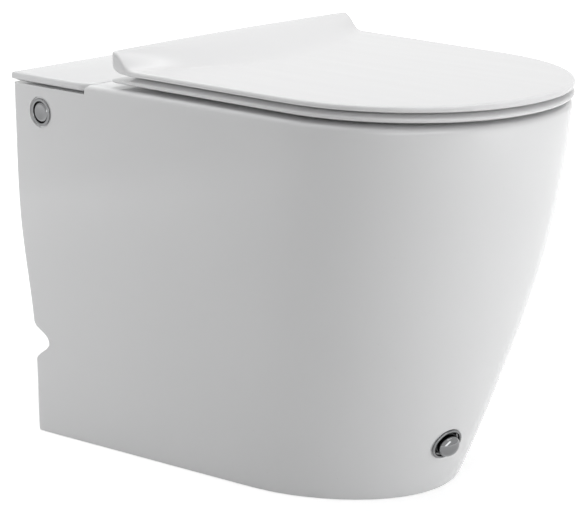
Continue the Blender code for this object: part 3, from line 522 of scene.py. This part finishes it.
# %% [markdown]
# A pan is cast hollow: the skirt is a shell about 13 mm thick that stands over the pipes, and the
# bowl hangs in it. The hollow is a smaller copy of the outer form, so the wall stays even. The
# bowl is a stack of ovals that narrows to the sump.

# %% The skirt's hollow and the bowl
SKIRT_WALL = 0.013
HOLLOW_REAR = -0.120
HOLLOW_FLANK = (-0.060, -0.020, 0.0, *PAN_FLANK)
HOLLOW_HEIGHTS = (-0.100, -0.050, -0.020, 0.0, 0.030, 0.090, 0.150, 0.215, 0.290, 0.345, 0.394)
BOWL_TOP = 0.430
BOWL = (
    (BOWL_TOP, 0.147, 0.184, 0.531, 2.3),
    (0.418, 0.146, 0.185, 0.530, 2.3),
    (0.412, 0.142, 0.189, 0.526, 2.3),
    (0.395, 0.141, 0.190, 0.525, 2.3),
    (0.350, 0.134, 0.197, 0.515, 2.3),
    (0.300, 0.120, 0.210, 0.492, 2.2),
    (0.260, 0.100, 0.228, 0.462, 2.2),
    (0.225, 0.076, 0.248, 0.428, 2.1),
    (0.200, 0.060, 0.262, 0.405, 2.1),
    (0.175, 0.050, 0.272, 0.390, 2.0),
    (0.158, 0.038, 0.284, 0.376, 2.0),
    (0.150, 0.020, 0.302, 0.358, 2.0),
)


def pan_hollow():
    """It starts well below and behind the pan, so that its rounded corners stay outside."""
    rings = []
    for z in HOLLOW_HEIGHTS:
        shape = pan_plan(z)
        outline = plan(*shape, SKIRT_WALL, HOLLOW_REAR, corner=0.001, flank=HOLLOW_FLANK)
        rings.append(level(outline, z))
    return stack(rings)


def bowl(wall=0.0, top=BOWL_TOP):
    """The bowl's inside, or with a wall its outside, from a height down to the sump."""
    rings = []
    for z, half, rear, front, exponent in BOWL:
        if z <= top:
            rings.append(oval(half + wall, rear - wall, front + wall, exponent, z - wall))
    return stack(rings)


print("bowl opening at the rim", [round(2 * BOWL[1][1], 3), round(BOWL[1][3] - BOWL[1][2], 3)])

# %% [markdown]
# The trapway leaves the sump, climbs to a weir that holds the water back, and then drops to the
# outlet at the wall. A plumber describes it as straight runs and bends, so the path is written
# that way: each run has a length or a bend radius, and a turn in degrees. A curve with a round
# bevel makes the pipe, because it keeps its section through the bends.

# %% The trapway
TRAP_START = (0.335, 0.174)
TRAP_RUNS = ((0.050, 0), (0.058, 65), (0.043, 0), (0.058, -140), (0.016, 0), (0.056, 75))
TRAP_END = 0.012
TRAP_RADIUS = 0.028
TRAP_WIDENING = 0.012
WIDENING_START, WIDENING_RUN = 0.120, 0.085


def trap_path(overrun):
    """Depth and height along the trapway's middle, going on past its end by an overrun."""
    (depth, z), heading = TRAP_START, 0.0
    path = [(depth, z)]
    for size, turn in TRAP_RUNS:
        if turn == 0:
            depth, z = depth - size * math.cos(heading), z + size * math.sin(heading)
            path.append((depth, z))
            continue
        count, way = max(3, round(abs(turn) / 6)), math.copysign(1.0, turn)
        centre = (depth + way * size * math.sin(heading), z + way * size * math.cos(heading))
        for _ in range(count):
            heading += math.radians(turn) / count
            depth = centre[0] - way * size * math.sin(heading)
            z = centre[1] - way * size * math.cos(heading)
            path.append((depth, z))
    return path + [(TRAP_END - overrun, z)]


def pipe(places, radii, sides):
    """A round pipe along places, from a curve with a bevel."""
    curve = bpy.data.curves.new("pipe", "CURVE")
    curve.dimensions = "3D"
    curve.bevel_depth, curve.bevel_resolution = radii[0], sides
    curve.use_fill_caps = True
    line = curve.splines.new("POLY")
    line.points.add(len(places) - 1)
    for point, place, radius in zip(line.points, places, radii):
        point.co, point.radius = (*place, 1.0), radius / radii[0]
    guide = bpy.data.objects.new("pipe", curve)
    bpy.context.scene.collection.objects.link(guide)
    graph = bpy.context.evaluated_depsgraph_get()
    mesh = bpy.data.meshes.new_from_object(guide.evaluated_get(graph))
    bm = bmesh.new()
    bm.from_mesh(mesh)
    bmesh.ops.remove_doubles(bm, verts=bm.verts, dist=0.00001)
    bmesh.ops.recalc_face_normals(bm, faces=bm.faces)
    bpy.data.objects.remove(guide, do_unlink=True)
    return bm


def trap(wall, overrun=0.0):
    """The trapway's inside, or with a wall its outside; it widens towards the outlet."""
    path = trap_path(overrun)
    radii = []
    for depth, _ in path:
        share = smoothstep((WIDENING_START - depth) / WIDENING_RUN)
        radii.append(TRAP_RADIUS + TRAP_WIDENING * share + wall)
    return pipe([at(0.0, depth, z) for depth, z in path], radii, 22)


print("outlet at height", round(trap_path(0.0)[-1][1], 4))

# %% [markdown]
# The rear of the deck is a recess for the cover, with the service bay under it. The recess is a
# little larger than the cover all round, which leaves the dark joint line. The foot button sits
# square to the sloping nose, so its direction is worked out from the nose itself: two small steps
# along the surface give its slopes.

# %% Cover outline and the buttons' places
COVER_DEPTH = 0.120
COVER_CORNER = 0.020
COVER_JOINT = 0.003
SIDE_TURN = Matrix.Rotation(math.radians(90), 4, "Y")
SIDE_PLACE = Matrix.Translation(at(-0.1916, 0.044, 0.3785)) @ SIDE_TURN
FOOT_X, FOOT_Z = -0.020, 0.062
FOOT_SUNK = 0.0016


def cover_plan(inset):
    half, taper, _, _ = pan_plan(RIM_Z)
    radius, centre = COVER_CORNER - inset, COVER_DEPTH - COVER_CORNER
    side = half - taper * centre - COVER_CORNER
    right = [(half - inset, inset), (half - taper * centre / 2 - inset, centre / 2)]
    for i in range(13):
        angle = math.radians(7.5 * i)
        right.append((side + radius * math.cos(angle), centre + radius * math.sin(angle)))
    return right + [(-x, depth) for x, depth in reversed(right)]


def nose_depth(x, z):
    """How far the nose reaches at a place; a few rounds settle it, as the flanks taper."""
    half, taper, start, tip = pan_plan(z)
    depth = tip
    for _ in range(8):
        share = clamp(abs(x) / (half - taper * depth), 0, 1) ** NOSE_EXPONENT
        depth = start + (tip - start) * (1 - share) ** (1 / NOSE_EXPONENT)
    return depth


def foot_button_place(x, z, step=0.002):
    slope_x = (nose_depth(x + step, z) - nose_depth(x - step, z)) / (2 * step)
    slope_z = (nose_depth(x, z + step) - nose_depth(x, z - step)) / (2 * step)
    inward = Vector((slope_x, 1.0, slope_z)).normalized()
    turn = inward.to_track_quat("Z", "Y").to_matrix().to_4x4()
    return Matrix.Translation(at(x, nose_depth(x, z), z) + inward * FOOT_SUNK) @ turn


FOOT_PLACE = foot_button_place(FOOT_X, FOOT_Z)
print("foot button faces", [round(-v, 3) for v in FOOT_PLACE.to_3x3() @ Vector((0, 0, 1))])

# %% [markdown]
# The rear edge of each flank has a rounded notch, through which the pipes can be reached. It is
# drawn as a side view and cut through both flanks at once. Each button gets a hole through the
# wall and a shallow wider spot for its ring.

# %% The notch and the holes
NOTCH = (
    (0.1396, 0.0000),
    (0.1344, 0.0014),
    (0.1302, 0.0038),
    (0.1262, 0.0070),
    (0.1226, 0.0129),
    (0.1190, 0.0189),
    (0.1151, 0.0226),
    (0.1108, 0.0244),
    (0.1063, 0.0242),
    (0.1010, 0.0194),
    (0.0952, 0.0110),
    (0.0898, 0.0050),
    (0.0846, 0.0012),
    (0.0806, 0.0000),
)
BEHIND = -0.01
BUTTON_HOLES = ((SIDE_PLACE, 0.0135, 0.0170), (FOOT_PLACE, 0.0161, 0.0190))
BUTTON_REACH = 0.03


def rear_notch():
    edge = [(BEHIND, NOTCH[0][0]), *((depth, z) for z, depth in NOTCH), (BEHIND, NOTCH[-1][0])]
    return prism(edge, 0.25)


def drill_buttons(pan):
    for place, hole, spot in BUTTON_HOLES:
        outer = place @ Vector((0, 0, -BUTTON_REACH))
        inner = place @ Vector((0, 0, BUTTON_REACH))
        pan.cut(bar(hole, outer, inner)).cut(bar(spot, outer, place.translation))


print("notch depth", max(depth for _, depth in NOTCH))

# %% [markdown]
# The order matters when the pan is put together. The hollow is cut first, then the outsides of
# bowl and trapway are joined to the shell, and only then are their insides cut, so that no wall is
# left across a passage. The flush pipe enters the rear of the bowl through a short horn.

# %% Build the pan
RECESS_Z = 0.4065
INLET_Z = 0.362
HORN_RADIUS, HORN_BORE = 0.034, 0.0272
HORN, HORN_CUT = (0.150, 0.200), (0.140, 0.215)
BOWL_WALL, TRAP_WALL = 0.012, 0.011
HINGE_BOLT_X = 0.0775
HINGE_DEPTH = 0.158
SCREW_DEPTHS = (0.012, 0.112)
BOLT_HOLE, SCREW_HOLE = 0.0055, 0.0029
BAY_HALF, BAY_FRONT, BAY_REAR = 0.150, 0.104, 0.020
UNDER_DECK, OVER_DECK = 0.38, 0.43


def inlet_bar(radius, depths):
    """A bar along the flush pipe's end, between two depths."""
    near, far = (at(0, depth, INLET_Z) for depth in depths)
    return bar(radius, near, far)


def drill_deck(pan):
    """The service bay, the holes of the hinge bolts and those of the bracket's screws."""
    pan.cut(block(at(-BAY_HALF, BAY_FRONT, UNDER_DECK), at(BAY_HALF, BAY_REAR, OVER_DECK)))
    for x in (-HINGE_BOLT_X, HINGE_BOLT_X):
        low, high = at(x, HINGE_DEPTH, UNDER_DECK), at(x, HINGE_DEPTH, OVER_DECK)
        pan.cut(bar(BOLT_HOLE, low, high, 32))
    for depth in SCREW_DEPTHS:
        pan.cut(bar(SCREW_HOLE, at(0, depth, 0.385), at(0, depth, 0.401), 24))


def make_pan():
    pan = Shape("pan_glazed", pan_outside(), smooth=2)
    drill_buttons(pan)
    pan.cut(rear_notch())
    pan.cut(stack([level(cover_plan(-COVER_JOINT), z) for z in (RECESS_Z, RIM_Z + 0.02)]))
    pan.cut(pan_hollow(), smooth=1)
    drill_deck(pan)
    pan.join(bowl(BOWL_WALL, top=0.412), smooth=1).join(trap(TRAP_WALL))
    pan.join(inlet_bar(HORN_RADIUS, HORN))
    pan.cut(bowl(), smooth=2).cut(trap(0.0, overrun=0.02))
    pan.cut(inlet_bar(HORN_BORE, HORN_CUT))
    ceramic = ("ceramic_pan", "ceramic_bowl", "ceramic_trap", "ceramic_outlet")
    pan.done("pan", white_glaze, "glaze", *ceramic)


make_pan()

# %% [markdown]
# ## The rear cover
# The cover is a glazed plate that lies flush with the deck, with a lip beneath it that drops into
# the service bay. Its front corners are rounded like the recess around it. Its lower edge is
# undercut and its upper edge softly rounded, so the joint reads as one clean dark line.

# %% Build the cover
COVER_LEVELS = (
    (0.4085, 0.0045),
    (0.4092, 0.0030),
    (0.4103, 0.0008),
    (0.4112, 0.0),
    (0.415, 0.0),
    (0.4165, 0.0004),
    (0.4176, 0.0015),
    (RIM_Z, 0.003),
)
LIP_HALF, LIP_FRONT, LIP_REAR = 0.1475, 0.1015, 0.0225
LIP_INNER_HALF, LIP_INNER_FRONT, LIP_INNER_REAR = 0.1415, 0.0955, 0.0285


def make_cover():
    plate = stack([level(cover_plan(inset), z) for z, inset in COVER_LEVELS])
    lip = block(at(-LIP_HALF, LIP_FRONT, 0.400), at(LIP_HALF, LIP_REAR, 0.410))
    low = at(-LIP_INNER_HALF, LIP_INNER_FRONT, 0.395)
    high = at(LIP_INNER_HALF, LIP_INNER_REAR, 0.409)
    cover = Shape("cover_glazed", plate)
    cover.join(lip).cut(block(low, high))
    cover.done("cover", white_glaze, "glaze", "rear_cover")


make_cover()

# %% [markdown]
# ## Seat and lid
# The seat is a 9 mm ring with softly rounded edges. Around the hinge its top steps down by 4 mm,
# so that the lid's rear has room to turn, and its lower rear edge is bevelled, so that the seat can
# turn over the deck. A short ear on each side takes the hinge pin. The hole flares towards both
# faces, so it is a stack of ovals too, because a bevel would round it evenly.

# %% Build the seat
HINGE_Z = 0.439
EAR_RADIUS, PIN_HOLE = 0.0075, 0.0039
SEAT_HALF, SEAT_TAPER, SEAT_NOSE = 0.187, 0.033, 0.385
SEAT_REAR, SEAT_TIP = 0.146, 0.5655
SEAT_LEVELS = (
    (0.421, 0.0080),
    (0.4216, 0.0040),
    (0.4228, 0.0012),
    (0.4240, 0.0),
    (0.4252, 0.0),
    (0.4266, 0.0010),
    (0.4277, 0.0034),
    (0.4286, 0.0066),
    (0.4300, 0.0150),
)
SEAT_HOLE_FLARES = (
    (0.415, 0.003),
    (0.421, 0.002),
    (0.4225, 0.0),
    (0.4268, 0.0),
    (0.4288, 0.0012),
    (0.430, 0.004),
    (0.435, 0.009),
)
SEAT_HOLE = (0.115, 0.215, 0.508)
SEAT_REAR_BEVEL = ((0.1440, 0.4180), (0.1535, 0.4180), (0.1460, 0.4255), (0.1440, 0.4255))
SEAT_STEP_Z, SEAT_STEP_FRONT = 0.426, 0.1735
BEHIND_SEAT = 0.130
SEAT_SLOT, SEAT_EAR, SEAT_PIN = (0.0675, 0.0875), (0.088, 0.101), (0.078, 0.111)


def seat_plan(inset, rear, tip, flank, across):
    """The outline that seat and lid share."""
    shape = (SEAT_HALF, SEAT_TAPER, SEAT_NOSE, tip)
    return plan(*shape, inset, rear, 0.004, flank, across, nose=16)


def seat_hole():
    half, rear, front = SEAT_HOLE
    rings = []
    for z, flare in SEAT_HOLE_FLARES:
        rings.append(oval(half + flare, rear - flare, front + flare, 2.2, z, 96))
    return stack(rings)


def hinge_bar(radius, side, reach):
    """A bar along the hinge axis, on one side of the middle."""
    near, far = (at(side * x, HINGE_DEPTH, HINGE_Z) for x in reach)
    return bar(radius, near, far, 48)


def side_block(side, reach, front, low, rear, high):
    """A block on one side of the middle, between two depths and two heights."""
    return block(at(side * reach[0], front, low), at(side * reach[1], rear, high))


def make_seat():
    rings = []
    for z, inset in SEAT_LEVELS:
        rings.append(level(seat_plan(inset, SEAT_REAR, SEAT_TIP, (0.20, 0.29), 1), z))
    seat = Shape("seat_pressed", stack(rings), smooth=2)
    seat.cut(seat_hole()).cut(prism(SEAT_REAR_BEVEL, 0.2))
    seat.cut(block(at(-0.2, SEAT_STEP_FRONT, SEAT_STEP_Z), at(0.2, BEHIND_SEAT, 0.440)))
    for side in (-1, 1):
        seat.cut(side_block(side, SEAT_SLOT, 0.173, 0.41, BEHIND_SEAT, 0.44))
        neck = side_block(side, SEAT_EAR, 0.1635, 0.4235, 0.1525, HINGE_Z)
        seat.join(neck).join(hinge_bar(EAR_RADIUS, side, SEAT_EAR))
        seat.cut(hinge_bar(PIN_HOLE, side, SEAT_PIN))
    seat.done("seat", seat_plastic, "seat_plastic", "seat_ring")


make_seat()

# %% [markdown]
# The lid is the most shaped piece. From the front it is a thin, nearly flat leaf. Towards the rear
# its top sweeps up to a crest 19 mm higher, which hides the hinges, and the fold where the sweep
# begins bows forwards in the middle. Sculpting that by hand would be hard to repeat, so one height
# function of x and depth gives all of it, and every ring of the lid reads its heights there.

# %% The height of the lid's top
LID_REAR = 0.147
LEAF_Z = 0.4375
LEAF_CROWN = 0.0015
CREST_RISE = 0.0185
FOLD_SIDE, FOLD_BOW = 0.168, 0.080
RAMP_TOP = 0.150


def lid_top(x, depth):
    across = clamp(abs(x) / SEAT_HALF, 0, 1)
    base = FOLD_SIDE + FOLD_BOW * (1 - across**2)
    ramp = smoothstep((base - depth) / (base - RAMP_TOP))
    return LEAF_Z + LEAF_CROWN * (1 - across**2) + CREST_RISE * ramp


print("leaf and crest heights", round(lid_top(0, 0.4), 4), round(lid_top(0, LID_REAR), 4))

# %% [markdown]
# The lid's body is rings again. The lower ones tuck in under the edge, four follow its rounded
# upper edge, and the rest shrink towards a spine along the middle, all at the height of the top.
# The outline near the rear has many points, because the ramp is short there.

# %% The lid's body
LID_ROUND = 0.003
LID_UNDER_Z = 0.4315
LID_TIP = 0.566
LID_FLANK = (0.158, 0.160, 0.163, 0.166, 0.170, 0.175, 0.183, 0.200, 0.235, 0.28, 0.33)
LID_UNDER = ((0.0, 0.0058, 0.003), (0.05, 0.0034, 0.0015), (0.17, 0.0012, 0.0), (0.40, 0.0, 0.0))
LID_EDGE = ((LID_ROUND, 0.0), (0.0015, 0.0004), (0.0004, 0.0015), (0.0, LID_ROUND))
LID_SHARES = (0.985, 0.96, 0.93, 0.9, 0.86, 0.82, 0.77, 0.72, 0.66, 0.6, 0.5, 0.38, 0.24)
LID_SPINE = (0.300, 0.400)
TAIL_BAND = 0.004


def lid_ring(inset):
    return seat_plan(inset, LID_REAR + inset, LID_TIP, LID_FLANK, across=20)


def lid_under_rings():
    """Rings from the lower face up; at the rear the lowest ones are pulled in a little more."""
    rings = []
    for share, inset, pull in LID_UNDER:
        places = []
        for (x, depth), (outer_x, outer_depth) in zip(lid_ring(inset), lid_ring(0.0)):
            side_z = lid_top(outer_x, outer_depth) - LID_ROUND
            tail = clamp((LID_REAR + TAIL_BAND - outer_depth) / TAIL_BAND, 0, 1)
            z = LID_UNDER_Z + share * (side_z - LID_UNDER_Z)
            places.append(at(x, depth + pull * tail, z))
        rings.append(places)
    return rings


def lid_top_rings():
    rings = []
    for drop, inset in LID_EDGE:
        rings.append([at(x, depth, lid_top(x, depth) - drop) for x, depth in lid_ring(inset)])
    for share in LID_SHARES:
        places = []
        for x, depth in lid_ring(LID_ROUND):
            spine = clamp(depth, *LID_SPINE)
            x, depth = x * share, spine + (depth - spine) * share
            places.append(at(x, depth, lid_top(x, depth)))
        rings.append(places)
    return rings


print("lid outline points", len(lid_ring(0.0)))

# %% [markdown]
# Under the crest the lid is hollow, so that it closes over the hinges like a hood. The pocket's
# roof follows the height function a few millimetres lower, which keeps the skin even. The foot of
# the rear edge is cut away in a curve, so that the lid turns freely over the deck.

# %% The pocket and the foot of the rear edge
POCKET_HALF = 0.150
POCKET_REAR, POCKET_RUN = 0.150, 0.090
POCKET_FLOOR = 0.42
LID_SKIN, SKIN_GAIN = 0.0045, 0.0015
TAIL_REAR = LID_REAR - 0.006
LID_TAIL = (
    (TAIL_REAR, 0.4255),
    (0.1605, 0.4255),
    (0.1605, 0.4314),
    (0.1575, 0.4322),
    (0.1535, 0.4345),
    (0.1495, 0.4385),
    (0.1476, 0.4425),
    (LID_REAR, 0.4460),
    (TAIL_REAR, 0.4460),
)


def lid_pocket():
    rings = []
    for i in range(13):
        depth = POCKET_REAR + POCKET_RUN * i / 12
        roof = []
        for j in range(25):
            x = POCKET_HALF * (1 - j / 12)
            roof.append(at(x, depth, lid_top(x, depth) - LID_SKIN - SKIN_GAIN * i / 12))
        corners = [at(x, depth, POCKET_FLOOR) for x in (-POCKET_HALF, POCKET_HALF)]
        rings.append(corners + roof)
    return stack(rings)


print("lowest point of the crest's rear edge", LID_TAIL[-2][1])

# %% [markdown]
# Two slots let the hinge posts through, and a web with an ear beside each post carries the lid on
# the hinge pin. They come last, because they have to stand inside the finished pocket.

# %% Build the lid
LID_SLOT, LID_EAR, LID_PIN = (0.068, 0.103), (0.054, 0.067), (0.044, 0.077)
LID_SLOT_Z = HINGE_Z + 0.0105


def make_lid():
    lid = Shape("lid_pressed", stack(lid_under_rings() + lid_top_rings()), smooth=1)
    for side in (-1, 1):
        lid.cut(side_block(side, LID_SLOT, 0.1545, 0.42, BEHIND_SEAT, LID_SLOT_Z))
    lid.cut(prism(LID_TAIL, 0.2))
    lid.cut(lid_pocket())
    for side in (-1, 1):
        web = side_block(side, LID_EAR, 0.164, HINGE_Z, 0.152, 0.453)
        lid.join(web).join(hinge_bar(EAR_RADIUS, side, LID_EAR))
        lid.cut(hinge_bar(PIN_HOLE, side, LID_PIN))
    lid.done("lid", seat_plastic, "seat_plastic", "lid")


make_lid()

# %% [markdown]
# ## Turned pieces
# The buttons and their rings are round, so each is a profile of radius and height that is spun a
# full turn, as on a lathe. Heights count inwards from the face of the pan, so what stands out has a
# negative height. A profile that starts and ends on the axis closes itself once the doubles are
# merged.

# %% Spin a profile


def turned(profile, place, closed=False, steps=96):
    bm = bmesh.new()
    points = [bm.verts.new((radius, 0.0, height)) for radius, height in profile]
    for first, second in zip(points, points[1:]):
        bm.edges.new((first, second))
    if closed:
        bm.edges.new((points[-1], points[0]))
    geometry = bm.verts[:] + bm.edges[:]
    bmesh.ops.spin(
        bm, geom=geometry, cent=(0, 0, 0), axis=(0, 0, 1), angle=2 * math.pi, steps=steps,
        use_merge=True,
    )
    bmesh.ops.remove_doubles(bm, verts=bm.verts, dist=0.000001)
    bmesh.ops.recalc_face_normals(bm, faces=bm.faces)
    bmesh.ops.transform(bm, matrix=place, verts=bm.verts)
    return bm


def arc(radius, height, size, start, end, count=6):
    """Part of a round corner in a profile, as radius and height."""
    points = []
    for i in range(count + 1):
        angle = math.radians(start + (end - start) * i / count)
        points.append((radius + size * math.cos(angle), height + size * math.sin(angle)))
    return points


# %% [markdown]
# The side button is a plated cap in a plated ring. The ring has a rolled edge, and the cap is
# dished a little, so both catch the room in thin curved lines. A dark gap of about a millimetre
# between them is what makes the button readable from afar.

# %% Side push button
SIDE_RING = [(0.0131, 0.0236), (0.0131, -0.0003), (0.0152, -0.0003)]
SIDE_RING += arc(0.0146, -0.0012, 0.0006, 0, -90) + arc(0.0127, -0.0010, 0.0008, -90, -180)
SIDE_RING += [(0.0117, 0.0006), (0.0115, 0.0236)]
SIDE_CAP = [(0.0, 0.0300), (0.0040, 0.0300), (0.0045, 0.0295), (0.0045, 0.0030), (0.0112, 0.0030)]
SIDE_CAP += arc(0.0084, 0.0015, 0.0028, 0, -90)
SIDE_CAP += [(0.0075, -0.0012), (0.0045, -0.0007), (0, -0.0005)]

side_ring = Shape("side_ring_plated", turned(SIDE_RING, SIDE_PLACE, closed=True))
side_ring.done("pan", chrome, "chrome", "side_button_ring", sharp=40)
side_cap = Shape("side_cap_plated", turned(SIDE_CAP, SIDE_PLACE))
side_cap.done("side_button", chrome, "chrome", "side_button_cap", sharp=40)

# %% [markdown]
# The foot button is a domed cap that a shoe can find. A wide dark groove parts it from its ring,
# whose lip is narrow and rounded. The dome is a flattened quarter circle on a short straight side,
# so it stands out by about 12 mm and is still smooth to the sole.

# %% Foot button
DOME_RADIUS = 0.0124
DOME_FOOT, DOME_RISE = -0.0040, 0.0100
FOOT_RING = [(0.0158, 0.0260), (0.0158, -0.0003), (0.0183, -0.0003)]
FOOT_RING += arc(0.0173, -0.0018, 0.0010, 0, -90) + arc(0.0167, -0.0018, 0.0010, -90, -180)
FOOT_RING += [(0.0157, 0.0010), (0.0147, 0.0020), (0.0147, 0.0260)]
FOOT_DOME = [(0.0, 0.0320), (0.0045, 0.0320), (0.0050, 0.0315), (0.0050, 0.0050), (0.0143, 0.0050)]
FOOT_DOME += [(0.0143, 0.0036), (0.0128, 0.0030), (DOME_RADIUS, 0.0022)]
for step in range(16):
    rise = math.radians(6 * step)
    FOOT_DOME.append((DOME_RADIUS * math.cos(rise), DOME_FOOT - DOME_RISE * math.sin(rise)))

foot_ring = Shape("foot_ring_plated", turned(FOOT_RING, FOOT_PLACE, closed=True))
foot_ring.done("pan", chrome, "chrome", "foot_button_ring", sharp=40)
foot_dome = Shape("foot_dome_plated", turned(FOOT_DOME, FOOT_PLACE))
foot_dome.done("foot_button", chrome, "chrome", "foot_button_dome", sharp=40)

# %% [markdown]
# ## The pieces that stay as they are
# Screws, nuts, pads, the valve and the small hinge parts already have their final shape, so they
# only get their finishes. The record names a material slot for each node, and one table gives
# each slot its finish.

# %% Finish the remaining nodes
SLOT_FINISH = {
    "glaze": white_glaze,
    "seat_plastic": seat_plastic,
    "chrome": chrome,
    "hinge_metal": satin_metal,
    "steel": steel,
    "brass": brass,
    "rubber": rubber,
    "fitting_white": fitting_white,
    "fitting_grey": fitting_grey,
}
for entry in frame["record"]["subparts"]:
    node = frame["nodes"][entry["node"]]
    node.data.materials.clear()
    node.data.materials.append(SLOT_FINISH[entry["material_slot"]])

# %% [markdown]
# ## Floor and light
# A white product picture is lit by large soft lamps. The floor looks white to the camera and in
# reflections, and shades off only close to the pan. As a source of light it doesn't glow, so that
# the glaze keeps its shading and the floor keeps a soft shadow. The Light Path node tells the two
# cases apart.

# %% Floor
FLOOR_HALF = 20.0
FLOOR_GLOW = 0.62
SHADE_START, SHADE_END = 0.4, 1.3
BLACK = (0.0, 0.0, 0.0)


def seen_directly(wiring):
    """1 for the camera, mirrors and glass, 0 for soft light."""
    path = wiring.node("ShaderNodeLightPath")
    mirrored = path[CAMERA_RAY].maths("MAXIMUM", path[GLOSSY_RAY])
    return mirrored.maths("MAXIMUM", path[TRANSMISSION_RAY])


def make_floor_finish():
    pale = Finish("pale_floor", Base_Color=(0.75, 0.75, 0.75, 1.0), Roughness=0.9)
    spot = pale.node("ShaderNodeTexCoord")[OBJECT]
    away = pale.node("ShaderNodeVectorMath", {"operation": "LENGTH"}, {0: spot})[1]
    white = pale.ramp(away, SHADE_START, SHADE_END, FLOOR_GLOW, 1.0)
    glow = pale.blend(seen_directly(pale), BLACK, white)
    sockets = {"Specular IOR Level": 0.0, "Emission Color": glow, "Emission Strength": 1.0}
    for socket, value in sockets.items():
        pale.put(pale.shader.inputs[socket], value)
    return pale.material


def make_floor():
    bm = bmesh.new()
    bmesh.ops.create_grid(bm, x_segments=1, y_segments=1, size=FLOOR_HALF)
    mesh = bpy.data.meshes.new("floor")
    bm.to_mesh(mesh)
    bm.free()
    floor = bpy.data.objects.new("floor", mesh)
    bpy.context.scene.collection.objects.link(floor)
    mesh.materials.append(make_floor_finish())


make_floor()
print("floor glow near the pan", FLOOR_GLOW)

# %% [markdown]
# The room is white to the camera and dim as a lamp. Chrome in an even white room would look like
# grey paint, so mirror images also show one bright strip, as of a long lamp near the camera. A
# direction is in the strip when it lies near the strip's middle and close to its plane. A real
# lamp there would also change how the glaze is lit, which this strip doesn't.

# %% Room
WHITE = (1.0, 1.0, 1.0)
ROOM_LIGHT = 0.20
STRIP_MIDDLE = (-0.704, -0.657, 0.269)
STRIP_ACROSS = (0.343, -0.647, -0.681)
STRIP_GLOW = 4.0
STRIP_ENDS = (0.70, 0.82)
STRIP_EDGES = (0.12, 0.20)


def make_room():
    """White to the camera, dim as a lamp, and with one bright strip light in mirror images."""
    world = bpy.data.worlds.new("room")
    bpy.context.scene.world = world
    world.use_nodes = True
    room = Wiring(world.node_tree)
    way = room.node("ShaderNodeTexCoord")[GENERATED]

    def towards(direction):
        settings = {"operation": "DOT_PRODUCT"}
        return room.node("ShaderNodeVectorMath", settings, {0: way, 1: direction})[1]

    strip = room.ramp(towards(STRIP_MIDDLE), *STRIP_ENDS, 1.0, STRIP_GLOW)
    strip = room.ramp(towards(STRIP_ACROSS).maths("ABSOLUTE"), *STRIP_EDGES, strip, 1.0)
    camera_ray = room.node("ShaderNodeLightPath")[CAMERA_RAY]
    mirrored = room.ramp(camera_ray, 0.0, 1.0, strip, 1.0)
    strength = room.ramp(seen_directly(room), 0.0, 1.0, ROOM_LIGHT, mirrored)
    light = room.tree.nodes["Background"]
    room.put(light.inputs["Strength"], strength)
    room.put(light.inputs["Color"], (*WHITE, 1.0))


make_room()
print("room light", ROOM_LIGHT, "strip", STRIP_GLOW)

# %% [markdown]
# Four soft lamps do the rest: a large one overhead, one over the rear for the lid and the crest, a
# low one in front that fills the nose, and a small one that lifts the rear of the flank. The two
# low ones are hidden from mirror images, where they would show as hard squares.

# %% Lamps
LAMP_AIM = Vector((0, 0, 0.25))
LAMPS = (
    ("over", (0.0, -0.1, 2.2), 1.8, 21.9, True),
    ("over_rear", (0.2, 1.1, 1.9), 1.5, 6.1, True),
    ("front_low", (0.3, -2.2, 0.35), 1.0, 20.9, False),
    ("rear_left", (-1.0, 0.9, 0.5), 0.6, 3.2, False),
)


def make_lamp(name, place, size, watts, mirrored):
    data = bpy.data.lights.new(name, "AREA")
    data.size = size
    data.energy = watts
    lamp = bpy.data.objects.new(name, data)
    bpy.context.scene.collection.objects.link(lamp)
    lamp.location = place
    lamp.visible_glossy = mirrored
    lamp.rotation_mode = "QUATERNION"
    lamp.rotation_quaternion = (Vector(place) - LAMP_AIM).to_track_quat("Z", "Y")


for lamp in LAMPS:
    make_lamp(*lamp)
print("lamps", len(LAMPS))
